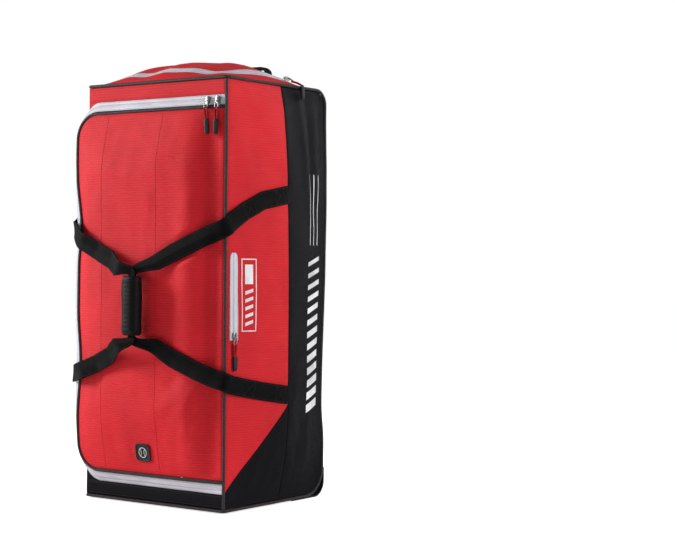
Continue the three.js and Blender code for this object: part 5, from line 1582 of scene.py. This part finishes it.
def add_pocket_zip(cloth):
    straight = np.linspace(POCKET_LOW, POCKET_HIGH - 12, 55)
    z = np.concatenate([straight, POCKET_HIGH - np.linspace(10.5, 0, 8)])
    taper = np.interp(POCKET_HIGH - z, (0, 1.5, 4, 8, 14), (0.42, 0.62, 0.8, 0.94, 1))
    y = POCKET_Y + ZIP_ACROSS[None, :] * taper[:, None]
    zz = np.broadcast_to(z[:, None], y.shape)
    points, normals, _, _ = cloth.at(*side_front_shares(y, zz))
    points = points + normals * (ZIP_TAPE + SEAM_GAP)
    zip_strip("pocket_zip", points, "pocket_zip_tape", normals, seed=49, soft=0.2)
    frame_y = POCKET_Y + POCKET_STITCH_ACROSS * np.array([-1, 1, 1, -1, -1])
    low, high = POCKET_LOW - POCKET_STITCH_END, POCKET_HIGH + POCKET_STITCH_END
    frame_z = np.array([low, low, high, high, low])
    for k in range(4):
        y = np.linspace(frame_y[k], frame_y[k + 1], 40)
        z = np.linspace(frame_z[k], frame_z[k + 1], 40)
        shares = side_front_shares(np.stack([y, y + 0.5]), np.stack([z, z + 0.5]))
        points, normals, _, _ = cloth.at(*shares)
        sew(points[0] + normals[0] * 0.1, normals[0], "red")


# Grab handle: flat at its feet, and narrowed and thicker where the hand holds it
GRAB_HALF_SPAN = 71
GRAB_FOOT = 18
GRAB_HALF_THIN = 1.2
GRAB_HALF_THICK = 3.2
GRAB_NARROWING = 3.5
GRAB_BOX_STITCH = 13


def add_grab_handle():
    low, high = box_mm("grab_handle")
    y = (low[1] + high[1]) / 2
    width = high[1] - low[1]
    half_span, foot = GRAB_HALF_SPAN, GRAB_FOOT
    away = SEAM_GAP + WEBBING_THICKNESS
    top = high[2] - 1.5
    seat = top_point(np.array([half_span + foot, half_span]), np.array([y, y]))[:, 2] + away
    rows = [
        (half_span + foot, seat[0]), (half_span + 6, lerp(seat[0], seat[1], 0.7)),
        (half_span, seat[1] + 1),
        (half_span * 0.95, seat[1] + 8), (half_span * 0.9, seat[1] + 24), (half_span * 0.84, top - 6),
        (half_span * 0.7, top - 1), (half_span * 0.45, top), (0, top + 0.5),
    ]
    run = [(-x, z) for x, z in rows] + [(x, z) for x, z in rows[-2::-1]]
    middle = catmull_rom([(x, y, z) for x, z in run], np.linspace(0, 1, 150))
    along = unit(np.gradient(middle, axis=0))
    across = np.broadcast_to(np.array([0, 1.0, 0]), middle.shape)
    out = unit(np.cross(across, along))
    out *= np.where(out[len(out) // 2, 2] < 0, -1, 1)
    grip = smoothstep(np.abs(middle[:, 0]), half_span * 0.86, half_span * 0.72)
    foot_share = smoothstep(np.abs(middle[:, 0]), half_span * 0.94, half_span + 2)
    half_thick = lerp(GRAB_HALF_THIN, GRAB_HALF_THICK, grip)
    half_width = lerp(width / 2, width / 2 - GRAB_NARROWING, grip)
    seat_y = y + WEBBING_SECTION[:, 0] * width / 2
    rings = webbing_rings(middle, across, out, half_width, half_thick)
    drop = top_point(middle[:, None, 0], seat_y[None])[..., 2] - top_point(middle[:, 0], y)[:, None, 2]
    rings[..., 2] += drop * foot_share[:, None]
    made = loft("grab_webbing", rings, WEBBING_SECTION[:, 0] * width / 2)
    finish_piece(made, strap_cloth, "grab_handle")
    for side in (-1, 1):
        at = np.array([side * (half_span + foot * 0.55), y, 0])
        at[2] = float(top_point(at[0], y)[2]) + away
        up = surface_normal(top_point, at[0], y, (0, 0, 1))
        ahead, sideways = unit(np.cross((0, 1, 0), up)), np.array([0, 1.0, 0])
        box_stitches(at, ahead, sideways, up, width / 2, 3.0, GRAB_BOX_STITCH)
    for edge in (-1, 1):
        line = middle + across * edge * (half_width - 2.5)[:, None] + out * (half_thick + 0.15)[:, None]
        sew(line[30:-30], out[30:-30], "black")


# Badge and printed marks
badge_low, badge_high = box_mm("badge")
BADGE_X = (badge_low[0] + badge_high[0]) / 2
BADGE_Z = (badge_low[2] + badge_high[2]) / 2
BADGE_WIDTH = badge_high[0] - badge_low[0]
BADGE_HEIGHT = badge_high[2] - badge_low[2]
BADGE_FACE = 1.45
BADGE_PRESS = 19
PRINT_LIFT = 0.25
PRINT_STEP = 3.0


def badge_place(x, z, out):
    """A place on the badge: x and z from its middle, out from its back."""
    base = lid_point(BADGE_X + x, BADGE_Z + z)
    return base - np.array([0, 1.0, 0]) * (SEAM_GAP + out)[..., None]


def add_badge():
    """A rounded square with a raised rim, and a ring with two curved seams printed on it."""
    angle = np.arange(72) * TURN / 72
    profile = (
        (1.0, 0.0), (1.0, 1.5), (0.985, 1.85), (0.95, 2.0), (0.89, 2.0), (0.865, 1.75),
        (0.84, BADGE_FACE), (0.6, BADGE_FACE), (0.3, BADGE_FACE), (0.05, BADGE_FACE),
    )
    rings = []
    for share, out in profile:
        x, z = superellipse(angle, BADGE_WIDTH * share, BADGE_HEIGHT * share, 0.34)
        rings.append(badge_place(x, z, np.full_like(x, out)))
    made = loft("badge_plate", rings, angle * 10)
    finish_piece(made, tip_rubber, "badge")
    radius = BADGE_HEIGHT * 0.29
    strips = [arc_strip(0, radius, radius - 1.3, 0, TURN, 60)]
    for side in (-1, 1):
        away, bend = side * radius * 1.45, radius * 1.15
        spread = math.radians(46)
        facing = 0 if side < 0 else math.pi
        strips.append(arc_strip(away, bend, bend - 1.0, facing - spread, facing + spread, 24))
    parts = []
    for strip in strips:
        x, z = strip[..., 0], strip[..., 1]
        parts.append(badge_place(x, z, np.full_like(x, BADGE_FACE + PRINT_LIFT)))
    print_mesh("badge_mark", parts, "badge_rubber")
    x, z = BADGE_X + np.array([-10, 10, -10, 10, 0]), BADGE_Z + np.array([-8, -8, 8, 8, 0])
    pressed_places.append((lid_point(x, z), BADGE_PRESS))


def arc_strip(centre_x, outer, inner, start, end, steps):
    angle = np.linspace(start, end, steps)
    return np.stack([
        np.stack([centre_x + r * np.cos(angle), r * np.sin(angle)], -1) for r in (outer, inner)
    ])


def print_mesh(name, grids, slot):
    """Thin printed shapes, each a grid of points, joined in one piece."""
    points, faces, start = [], [], 0
    for grid in grids:
        normals = grid_normals(grid)
        rows, columns = grid.shape[:2]
        points.append(grid.reshape(-1, 3))
        turned = np.cross(grid[0, 1] - grid[0, 0], grid[1, 0] - grid[0, 0]) @ normals[0, 0] < 0
        faces.append(grid_faces(rows, columns, turned, start))
        start += rows * columns
    points, faces = np.concatenate(points), np.concatenate(faces).tolist()
    made = mesh_object(name, points, faces, points[:, [1, 2]], np.ones(len(faces), bool))
    return finish_piece(made, white_print, slot=slot)


def bar_grid(y_low, y_high, z_low, z_high, slant):
    """Flat coordinates of a slanted bar."""
    across = np.linspace(0, 1, max(int((y_high - y_low) / PRINT_STEP), 2) + 1)
    up = np.linspace(0, 1, max(int((z_high - z_low) / PRINT_STEP), 2) + 1)
    u, v = np.meshgrid(across, up)
    y = lerp(y_low, y_high, u)
    return y, lerp(z_low, z_high, v) + slant * (u - 0.5)


def add_print(name, cloth, shares, bars, slot):
    grids = []
    for bar in bars:
        points, normals, _, _ = cloth.at(*shares(*bar_grid(*bar)))
        grids.append(points + normals * PRINT_LIFT)
    print_mesh(name, grids, slot)


BAR_COUNT = 13
BAR_FROM, BAR_TO = 88, 138
BAR_START = 196
BAR_HEIGHTS = (17, 9)
BAR_GAPS = (10, 16)
BAR_SLANT = 14
LINE_PLACES = (96, 113, 130)
LINE_HALF = 1.2
LINE_LOW, LINE_HIGH = 548, 700
BLOCK_FRAME = 2.2
BLOCK_INSET = 9


def add_side_marks(place, front, rear):
    """Slanted bars up the black strip, and on the right a framed block beside the pocket."""
    bars = []
    z = BAR_START
    for k in range(BAR_COUNT):
        share = k / (BAR_COUNT - 1)
        height = lerp(*BAR_HEIGHTS, share)
        bars.append((BAR_FROM, BAR_TO, z, z + height, BAR_SLANT))
        z += height + lerp(*BAR_GAPS, share)
    bars += [(y - LINE_HALF, y + LINE_HALF, LINE_LOW, LINE_HIGH, 0) for y in LINE_PLACES]
    add_print(f"side_{place}_marks", rear, side_rear_shares, bars, "black_fabric")
    if place == "left":
        return
    y_low, y_high, z_low, z_high, line = -126, -88, 369, 518, BLOCK_FRAME
    block = [
        (y_low, y_low + line, z_low, z_high, 0), (y_high - line, y_high, z_low, z_high, 0),
        (y_low + line, y_high - line, z_low, z_low + line, 0),
        (y_low + line, y_high - line, z_high - line, z_high, 0),
    ]
    inner_low, inner_high = y_low + BLOCK_INSET, y_high - BLOCK_INSET
    block += [(inner_low, inner_high, z, z + 7, 6) for z in np.linspace(z_low + 14, z_low + 78, 5)]
    block += [(inner_low, inner_high, z_low + 97, z_high - 12, 0)]
    add_print("side_right_block", front, side_front_shares, block, "red_fabric")


# Skid rails and screws
rail_low, rail_high = box_mm("skid_rail_right")
RAIL_X = (rail_low[0] + rail_high[0]) / 2
RAIL_FOOT = (rail_high[0] - rail_low[0]) / 2
RAIL_FACE = 7.5
RAIL_TAPER = 26
RAIL_BEVEL = 0.35
RAIL_HOLLOW = 1.3
RAIL_EDGE_DROP = 0.9
SCREW_BOSS = 6.6
SCREW_SINK = 1.2
RAIL_SCREWS = [float(np.mean([box[2] for box in box_mm(f"rail_screw_right_{k}")])) for k in (1, 2, 3)]


def add_rail(name, side):
    base, out = rail_low[1], rail_high[1]
    z = [rail_low[2] + RAIL_TAPER * t for t in np.linspace(0, 1, 8)]
    z += list(np.linspace(rail_low[2] + RAIL_TAPER, rail_high[2] - RAIL_TAPER, 60))[1:-1]
    z += [rail_high[2] - RAIL_TAPER * t for t in np.linspace(1, 0, 8)]
    for screw in RAIL_SCREWS:
        z += list(screw + np.linspace(-9, 9, 19))
    z = np.unique(np.round(z, 2))
    rise = 0.2 + 0.8 * np.clip(np.minimum(z - rail_low[2], rail_high[2] - z) / RAIL_TAPER, 0, 1)
    face_x = np.concatenate([[-1, -0.93], np.linspace(-0.8, 0.8, 13), [0.93, 1]])
    rings = []
    for height, share in zip(z, rise):
        foot = lerp(RAIL_FACE, RAIL_FOOT, share)
        depth = (out - base) * share
        screw = min(abs(height - s) for s in RAIL_SCREWS)
        x = face_x * RAIL_FACE
        radius = np.hypot(x, height - min(RAIL_SCREWS, key=lambda s: abs(height - s)))
        lift = -RAIL_HOLLOW * (np.abs(face_x) < 0.45) * (screw > SCREW_BOSS + 1) * (share > 0.98)
        lift = lift - RAIL_EDGE_DROP * smoothstep(np.abs(face_x), 0.9, 1)
        lift = lift - SCREW_SINK * (radius < SCREW_BOSS - 1.2)
        face = [(a, base + depth + b) for a, b in zip(x, lift * min(depth / 15, 1))]
        ring_points = [(-foot, base), (-foot, base + 1.6)] + face + [(foot, base + 1.6), (foot, base)]
        rings.append([(side * RAIL_X + a, b, height) for a, b in ring_points])
    made = loft(f"{name}_rail", rings)
    made.data.shade_flat()
    finish_piece(made, plastic, name)
    bevel = made.modifiers.new("edges", "BEVEL")
    bevel.width, bevel.limit_method = RAIL_BEVEL * MM, "ANGLE"


SCREW_RADIUS = 4.4
SCREW_HEIGHT = 2.6
RECESS_HALF = 0.62
RECESS_DEPTH = 1.1


def add_screw(node):
    """A domed screw head with a cross recess, facing backwards."""
    low, high = box_mm(node)
    centre = (low + high) / 2
    angle = np.arange(48) * TURN / 48
    radii = np.array([1, 1, 0.97, 0.9, 0.8, 0.68, 0.56, 0.46, 0.36, 0.28, 0.2, 0.12, 0.04]) * SCREW_RADIUS
    heights = np.array([0, 0.35, 0.5, 0.66, 0.78, 0.87, 0.93, 0.96, 0.98, 0.99, 1, 1, 1]) * SCREW_HEIGHT
    # Each screw stopped at another turn
    turn = 0.35 + centre[2] * 0.21
    rings = []
    for radius, height in zip(radii, heights):
        x, z = radius * np.cos(angle), radius * np.sin(angle)
        a, b = radius * np.cos(angle - turn), radius * np.sin(angle - turn)
        cross = np.maximum(np.exp(-((a / RECESS_HALF) ** 4)), np.exp(-((b / RECESS_HALF) ** 4)))
        slot = cross * (radius < 0.6 * SCREW_RADIUS)
        rings.append(stacked(centre[0] + x, low[1] + height - RECESS_DEPTH * slot, centre[2] + z))
    finish_piece(loft(f"{node}_head", rings), steel, node)


# Wheel housings: cut from solids of the same outline, with rounder corners
HOUSING_WALL = 3
HOUSING_CORNER = 34
HOUSING_GUARD = HALF_DEPTH + 13
HOUSING_PLATE = HALF_DEPTH + 3.7
HOUSING_GUARD_TOP = 60
HOUSING_GUARD_SLOPE = 13
HOUSING_BEVEL = 0.9
# How far the hollow's cutter runs past the sides that stay open
HOUSING_OPEN = 50
VENT_HEIGHTS = (28, 43, 58, 73, 88)
VENT_INSET = 10
VENT_RADIUS = 2.6
WELL_GAP = 3
WHEEL_GAP = 2
AXLE_BORE = 4.35
AXLE_HOLE = 4.4
WHEEL_SPOKES = 6
TREAD_BLOCKS = 32
TREAD_DEPTH = 0.35
wheel_low, wheel_high = box_mm("wheel_right")
WHEEL_X, WHEEL_Y, WHEEL_Z = (wheel_low + wheel_high) / 2
WHEEL_RADIUS = (wheel_high[2] - wheel_low[2]) / 2
WHEEL_HALF = (wheel_high[0] - wheel_low[0]) / 2
HOUSING_OUTER = housing_high[0]


def prism(name, outline, x_low, x_high):
    """A solid of an outline in Y and Z, from one X to another."""
    rings = [[(x, y, z) for y, z in outline] for x in (x_low, x_high)]
    made = loft(name, rings)
    made.data.shade_flat()
    return made


def housing_outline(inset):
    plate, guard, radius = HOUSING_PLATE - inset, HOUSING_GUARD - inset, HOUSING_CORNER - inset
    front = HOUSING_FRONT - (HOUSING_OPEN if inset else 0)
    top = HOUSING_TOP + (HOUSING_OPEN if inset else 0)
    arc = np.linspace(-math.pi / 2, 0, 17)
    outline = [(front, inset)]
    outline += [
        (guard - radius + radius * math.cos(a), inset + radius + radius * math.sin(a)) for a in arc
    ]
    outline += [(guard, HOUSING_GUARD_TOP - inset / 2)]
    outline += [(plate, HOUSING_GUARD_TOP + HOUSING_GUARD_SLOPE - inset / 2)]
    outline += [(plate, top), (front, top)]
    return outline


def disc_outline(y, z, radius, sides):
    angle = np.arange(sides) * TURN / sides
    return [(y + radius * math.cos(a), z + radius * math.sin(a)) for a in angle]


def combined(made, others, operation):
    """Applies a boolean with each of the other solids and removes them."""
    for other in others:
        modifier = made.modifiers.new("cut", "BOOLEAN")
        modifier.operation = operation
        modifier.solver = "EXACT"
        modifier.object = other
        graph = bpy.context.evaluated_depsgraph_get()
        mesh = bpy.data.meshes.new_from_object(made.evaluated_get(graph))
        made.modifiers.clear()
        made.data = mesh
        bpy.data.objects.remove(other)
    return made


def vent(z, x):
    """A cutter for a round hole through the guard, front to back."""
    angle = np.arange(20) * TURN / 20
    rings = [
        [(x + VENT_RADIUS * math.cos(a), y, z + VENT_RADIUS * math.sin(a)) for a in angle]
        for y in (HOUSING_GUARD - 30, HOUSING_GUARD + 6)
    ]
    return loft("vent", rings)


def add_housing(name, side):
    slot_low, slot_high = WHEEL_X - WHEEL_HALF - WHEEL_GAP, WHEEL_X + WHEEL_HALF + WHEEL_GAP
    through = (HOUSING_INNER - 1, HOUSING_OUTER + 1)
    well = WHEEL_RADIUS + WELL_GAP
    outer = prism(f"wheel_housing_{name}_shell", housing_outline(0), HOUSING_INNER, HOUSING_OUTER)
    hollow = prism("hollow", housing_outline(HOUSING_WALL), *through)
    disc = disc_outline(WHEEL_Y, WHEEL_Z, well + HOUSING_WALL, 64)
    well_wall = prism("well_wall", disc, slot_low - HOUSING_WALL, slot_high + HOUSING_WALL)
    limit = prism("limit", housing_outline(0), HOUSING_INNER, HOUSING_OUTER)
    combined(well_wall, [limit], "INTERSECT")
    combined(outer, [hollow], "DIFFERENCE")
    combined(outer, [well_wall], "UNION")
    cuts = [prism("well", disc_outline(WHEEL_Y, WHEEL_Z, well, 64), slot_low, slot_high)]
    cuts.append(prism("bore", disc_outline(WHEEL_Y, WHEEL_Z, AXLE_BORE, 32), *through))
    cuts += [vent(z, HOUSING_OUTER - VENT_INSET) for z in VENT_HEIGHTS]
    combined(outer, cuts, "DIFFERENCE")
    if side < 0:
        outer.data.transform(Matrix.Scale(-1, 4, Vector((1, 0, 0))))
        outer.data.flip_normals()
    outer.data.shade_smooth()
    finish_piece(outer, plastic, f"wheel_housing_{name}")
    bevel = outer.modifiers.new("edges", "BEVEL")
    bevel.width, bevel.segments, bevel.limit_method = HOUSING_BEVEL * MM, 3, "ANGLE"
    bevel.angle_limit = math.radians(34)
    bevel.harden_normals = True


def add_wheel(name, side):
    """A tyre with a grooved tread on a hub with six spokes."""
    rim, half = WHEEL_RADIUS, WHEEL_HALF
    profile = [
        (AXLE_HOLE, 1.0), (0.3 * rim, 1.0), (0.36 * rim, 0.97), (0.40 * rim, 0.7), (0.5 * rim, 0.7),
        (0.6 * rim, 0.7), (0.7 * rim, 0.7), (0.74 * rim, 0.72), (0.77 * rim, 0.92), (0.80 * rim, 0.95),
        (0.86 * rim, 0.96), (0.93 * rim, 0.9), (0.975 * rim, 0.74), (0.995 * rim, 0.52), (rim, 0.36),
        (0.985 * rim, 0.30), (0.985 * rim, 0.22), (rim, 0.16), (rim, 0.0),
    ]
    both = profile + [(r, -x) for r, x in profile[-2::-1]]
    angle = np.arange(96) * TURN / 96
    rings = []
    for r, x in both:
        spoke = np.clip(np.cos(WHEEL_SPOKES * angle) * 1.6, 0, 1) ** 0.6
        in_spokes = smoothstep(r / rim, 0.38, 0.44) * (1 - smoothstep(r / rim, 0.68, 0.76))
        depth = half * x * (1 - 0.34 * (1 - spoke) * in_spokes)
        block = np.cos(TREAD_BLOCKS * angle) > 0.2
        tread = TREAD_DEPTH * block * (r > 0.97 * rim) * (abs(x) > 0.4)
        radius = r - tread
        y, z = WHEEL_Y + radius * np.cos(angle), WHEEL_Z + radius * np.sin(angle)
        rings.append(stacked(side * WHEEL_X + depth, y, z))
    made = loft(f"wheel_{name}_tyre", np.array(rings), closed=True)
    finish_piece(made, tyre, f"wheel_{name}", body=f"wheel_{name}")


# Zip sliders with their pullers, cords and tips
def local_frame(at, down, out):
    """Axes of a pull: across it, out of the cloth and up it."""
    back = -unit(down)
    face = unit(np.asarray(out, float) - back * (np.asarray(out, float) @ back))
    return np.asarray(at, float), np.cross(face, -back), face, back


def placed(points, frame_of_pull):
    at, across, face, back = frame_of_pull
    points = np.asarray(points, float)
    return at + points[..., :1] * across + points[..., 1:2] * face + points[..., 2:3] * back


# Half width of a slider's plate along its length, as shares
SLIDER_PLACES = (0, 0.08, 0.3, 0.45, 0.8, 0.95, 1)
SLIDER_WIDTHS = (0.5, 0.75, 0.95, 1, 0.72, 0.6, 0.4)
# A slider's bridge: out of the cloth and up
SLIDER_BRIDGE = (
    (3.9, -2.5), (5.4, -3.4), (6.4, -5.4), (6.6, -8), (6.3, -10.6), (5.3, -12.6), (3.9, -13.4),
)
SLIDER_LENGTH = 16
SLIDER_HALF = 5.5
PULLER_HALF = 3.8
PULLER_WIRE = 1.05


def add_slider(name, frame_of_pull, node):
    """Two plates joined at the nose, with a bridge over the upper one."""
    length, half = SLIDER_LENGTH, SLIDER_HALF
    for part, low, high, scale in (("base", 0, 1.3, 1.0), ("cap", 2.8, 4.3, 0.92)):
        z = np.linspace(0, -length, 25)
        share = -z / length
        width = half * scale * np.interp(share, SLIDER_PLACES, SLIDER_WIDTHS)
        dome = 0.5 * np.sin(math.pi * np.clip(share, 0, 1))
        rings = []
        for k, height in enumerate(z):
            w = width[k]
            rings.append(placed([
                (-w, low, height), (-w, high - 0.3, height), (-w * 0.85, high, height),
                (0, high + dome[k], height), (w * 0.85, high, height), (w, high - 0.3, height),
                (w, low, height),
            ], frame_of_pull))
        made = loft(f"{name}_{part}", rings)
        finish_piece(made, zip_metal, node)
    angle = np.arange(12) * TURN / 12
    post = [
        placed(stacked(1.6 * np.cos(angle), out, 1.4 * np.sin(angle) - 2.2), frame_of_pull)
        for out in (0.8, 3.2)
    ]
    finish_piece(loft(f"{name}_post", post), zip_metal, node)
    bridge = [(0, out, up) for out, up in SLIDER_BRIDGE]
    path = placed(catmull_rom(bridge, np.linspace(0, 1, 30)), frame_of_pull)
    tube(f"{name}_bridge", path, 0.75, zip_metal, node, up=frame_of_pull[1], sides=10)


def add_puller(name, start, end, face):
    """A flat silver ring shaped like a wishbone, from the bridge to the cord."""
    start, end = np.asarray(start, float), np.asarray(end, float)
    down = unit(end - start)
    across = unit(np.cross(down, face))
    length = np.linalg.norm(end - start)
    half = PULLER_HALF
    shape = [
        (0, 0), (1.6, 0.04), (half * 0.75, 0.2), (half, 0.5), (half * 0.95, 0.78), (half * 0.5, 0.97),
        (0, 1.0), (-half * 0.5, 0.97), (-half * 0.95, 0.78), (-half, 0.5), (-half * 0.75, 0.2),
        (-1.6, 0.04),
    ]
    points = [start + across * a + down * b * length for a, b in shape]
    closed = catmull_rom(points + points[:1], np.linspace(0, 1, 61))[:-1]
    tube(name, closed, PULLER_WIRE, zip_metal, up=face, sides=10, closed=True, slot="zip_metal")


CORD_RADIUS = 2.2


def add_cord(name, top, bottom, face, node):
    """A loop of braided cord, pinched where it goes into the tip."""
    top, bottom = np.asarray(top, float), np.asarray(bottom, float)
    down = unit(bottom - top)
    across = unit(np.cross(down, face))
    length = np.linalg.norm(bottom - top)
    shape = [
        (0, 0.02), (2.0, 0.07), (3.2, 0.24), (3.0, 0.5), (2.5, 0.8), (1.8, 0.97), (0.6, 1.06),
        (-0.6, 1.06), (-1.8, 0.97), (-2.5, 0.8), (-3.0, 0.5), (-3.2, 0.24), (-2.0, 0.07),
    ]
    points = [
        top + across * a + down * b * length + unit(face) * math.sin(math.pi * min(b, 1))
        for a, b in shape
    ]
    closed = catmull_rom(points + points[:1], np.linspace(0, 1, 91))[:-1]
    tube(name, closed, CORD_RADIUS, pull_cord_cover, node, up=face, sides=10, closed=True)


TIP_WIDTH = 11
TIP_DEPTH = 6
TIP_LENGTH = 32
TIP_RIBS = 8


def add_tip(name, top, bottom, face, node):
    """A moulded tip with raised ribs across both faces."""
    frame_of_pull = local_frame(top, np.asarray(bottom) - np.asarray(top), face)
    z = np.linspace(0, 1, 70)
    body = np.interp(z, (0, 0.03, 0.12, 0.5, 0.86, 0.97, 1), (0.45, 0.66, 1, 0.96, 0.9, 0.66, 0.4))
    rib = 0.5 * (1 + np.cos(TURN * TIP_RIBS * z)) * ((z > 0.2) & (z < 0.86))
    angle = np.arange(28) * TURN / 28
    rings = []
    for share, size, ridge in zip(z, body, rib):
        x, y = superellipse(angle, TIP_WIDTH * size, TIP_DEPTH * size * (0.86 + 0.14 * ridge), 0.5)
        rings.append(placed(stacked(x, y, -TIP_LENGTH * share), frame_of_pull))
    finish_piece(loft(name, rings), tip_rubber, node)


# Where a puller hooks on: below the slider's nose and out from the tape
HOOK_DOWN = 10
BRIDGE_OUT = 6.2
# The lid's pulls: number, distance from the lid's right end and lean
LID_PULLS = ((1, 42, 0.08), (2, 17, -0.04))
LID_SLIDER_UP = 17
POCKET_SLIDER_IN = 2.5


def hung_ends(node, lean=0):
    """Upper and lower end of a hanging piece, from its box and its lean to one side."""
    low, high = box_mm(node)
    middle = (low + high) / 2
    tilt = lean * (high[2] - low[2])
    top = np.array([middle[0] - tilt / 2, middle[1], high[2]])
    return top, np.array([middle[0] + tilt / 2, middle[1], low[2]])


def add_lid_pulls():
    for number, from_right, lean in LID_PULLS:
        name = f"lid_pull_{number}"
        x = LID_RIGHT - from_right
        rim_y = float(lid_y(x, LID_TOP))
        low = np.array([x, rim_y + CLOTH, LID_TOP + TAPE_START])
        high = np.array([x, -HALF_DEPTH, LID_TOP + TAPE_START + ZIP_TAPE_WIDTH])
        down = unit(low - high)
        out = unit(np.cross(down, (1, 0, 0)))
        out = -out if out[1] > 0 else out
        at = low - down * LID_SLIDER_UP + out * 2 * SEAM_GAP
        add_slider(name, local_frame(at, down, out), f"{name}_slider")
        top, pinch = hung_ends(f"{name}_cord", lean)
        face = surface_normal(lid_point, x, (top[2] + pinch[2]) / 2, (0, -1, 0))
        hook = at + down * HOOK_DOWN + out * BRIDGE_OUT
        add_puller(f"{name}_puller", hook, top - (0, 1.2, 9), face)
        add_cord(f"{name}_loop", top - (0, 0.4, 5), pinch, face, f"{name}_cord")
        add_tip(f"{name}_grip", *hung_ends(f"{name}_tip", lean), face, f"{name}_tip")


def add_pocket_pull():
    top, bottom = hung_ends("pocket_pull_slider")
    face = surface_normal(side_point, POCKET_Y, (top[2] + bottom[2]) / 2, (1, 0, 0))
    top, bottom = top - face * POCKET_SLIDER_IN, bottom - face * POCKET_SLIDER_IN
    add_slider("pocket_pull", local_frame(top, bottom - top, face), "pocket_pull_slider")
    cord_top, cord_end = hung_ends("pocket_pull_cord")
    hook = top + face * BRIDGE_OUT - (0, 0, HOOK_DOWN)
    add_puller("pocket_pull_puller", hook, cord_top + face - (0, 0, 9), face)
    add_cord("pocket_pull_loop", cord_top - (0, 0, 5), cord_end, face, "pocket_pull_cord")
    add_tip("pocket_pull_grip", *hung_ends("pocket_pull_tip"), face, "pocket_pull_tip")


def add_top_pull():
    low, high = box_mm("top_pull_slider")
    y = (low[1] + high[1]) / 2
    face = surface_normal(top_point, (low[0] + high[0]) / 2, y, (0, 0, 1))
    start, end = np.array([low[0], y, high[2] - 3.4]), np.array([high[0], y, low[2] + 1.2])
    add_slider("top_pull", local_frame(start, end - start, face), "top_pull_slider")
    cord_low, cord_high = box_mm("top_pull_cord")
    cord_y = (cord_low[1] + cord_high[1]) / 2
    cord_start = np.array([cord_low[0] + 1, cord_y, cord_high[2] - 1.5])
    cord_end = np.array([cord_high[0] - 1, cord_y, cord_low[2] + 1.5])
    hook = start + unit(end - start) * HOOK_DOWN + face * BRIDGE_OUT
    add_puller("top_pull_puller", hook, cord_start + (7, 0, 1), face)
    add_cord("top_pull_loop", cord_start + (4, 0, 0), cord_end, face, "top_pull_cord")
    tip_low, tip_high = box_mm("top_pull_tip")
    tip_x = (tip_low[0] + tip_high[0]) / 2
    tip_top = np.array([tip_x, tip_low[1] + TIP_WIDTH / 2, tip_high[2]])
    tip_end = np.array([tip_x - 1, tip_high[1] - TIP_WIDTH / 2, tip_low[2]])
    add_tip("top_pull_grip", tip_top, tip_end, (1, 0, 0.1), "top_pull_tip")


# The bag: what presses on the cloth comes first, so that the panels give way to it
add_straps()
add_badge()
right_front, right_rear = add_side(1)
left_front, left_rear = add_side(-1)
add_front_band("front_top_band", BAND_TOP, BODY_HEIGHT - EDGE_INSET, "red", 61)
add_front_band("front_bottom_band", SIDE_LOW, BAND_BOTTOM, "black", 62)
add_front_corner("front_corner_top", LID_TOP - CORNER_REACH, BAND_TOP + 2, "red")
add_front_corner("front_corner_bottom", BAND_BOTTOM - 2, LID_BOTTOM + CORNER_REACH, "black")
lid_cloth = add_lid()
add_lid_seams(lid_cloth)
add_top()
add_back()
add_lower_band()
add_base()
add_body_piping()
add_lid_zip()
add_top_zip()
add_pocket_zip(right_front)
add_wrap()
add_grab_handle()
add_side_marks("right", right_front, right_rear)
add_side_marks("left", left_front, left_rear)
add_lid_pulls()
add_pocket_pull()
add_top_pull()
for place, sign in (("right", 1), ("left", -1)):
    add_rail(f"skid_rail_{place}", sign)
    for number in (1, 2, 3):
        add_screw(f"rail_screw_{place}_{number}")
    for number in (1, 2):
        add_screw(f"housing_screw_{place}_{number}")
    add_housing(place, sign)
    add_wheel(place, sign)
    axle = bpy.data.objects[f"axle_{place}"]
    axle.data.materials.clear()
    axle.data.materials.append(steel)

stitch_slots = {"red": "red_fabric", "black": "black_fabric", "grey": "zip_tape"}
for colour, rows in stitch_rows.items():
    finish_piece(stitch_mesh(f"stitching_{colour}", rows), thread[colour], slot=stitch_slots[colour])
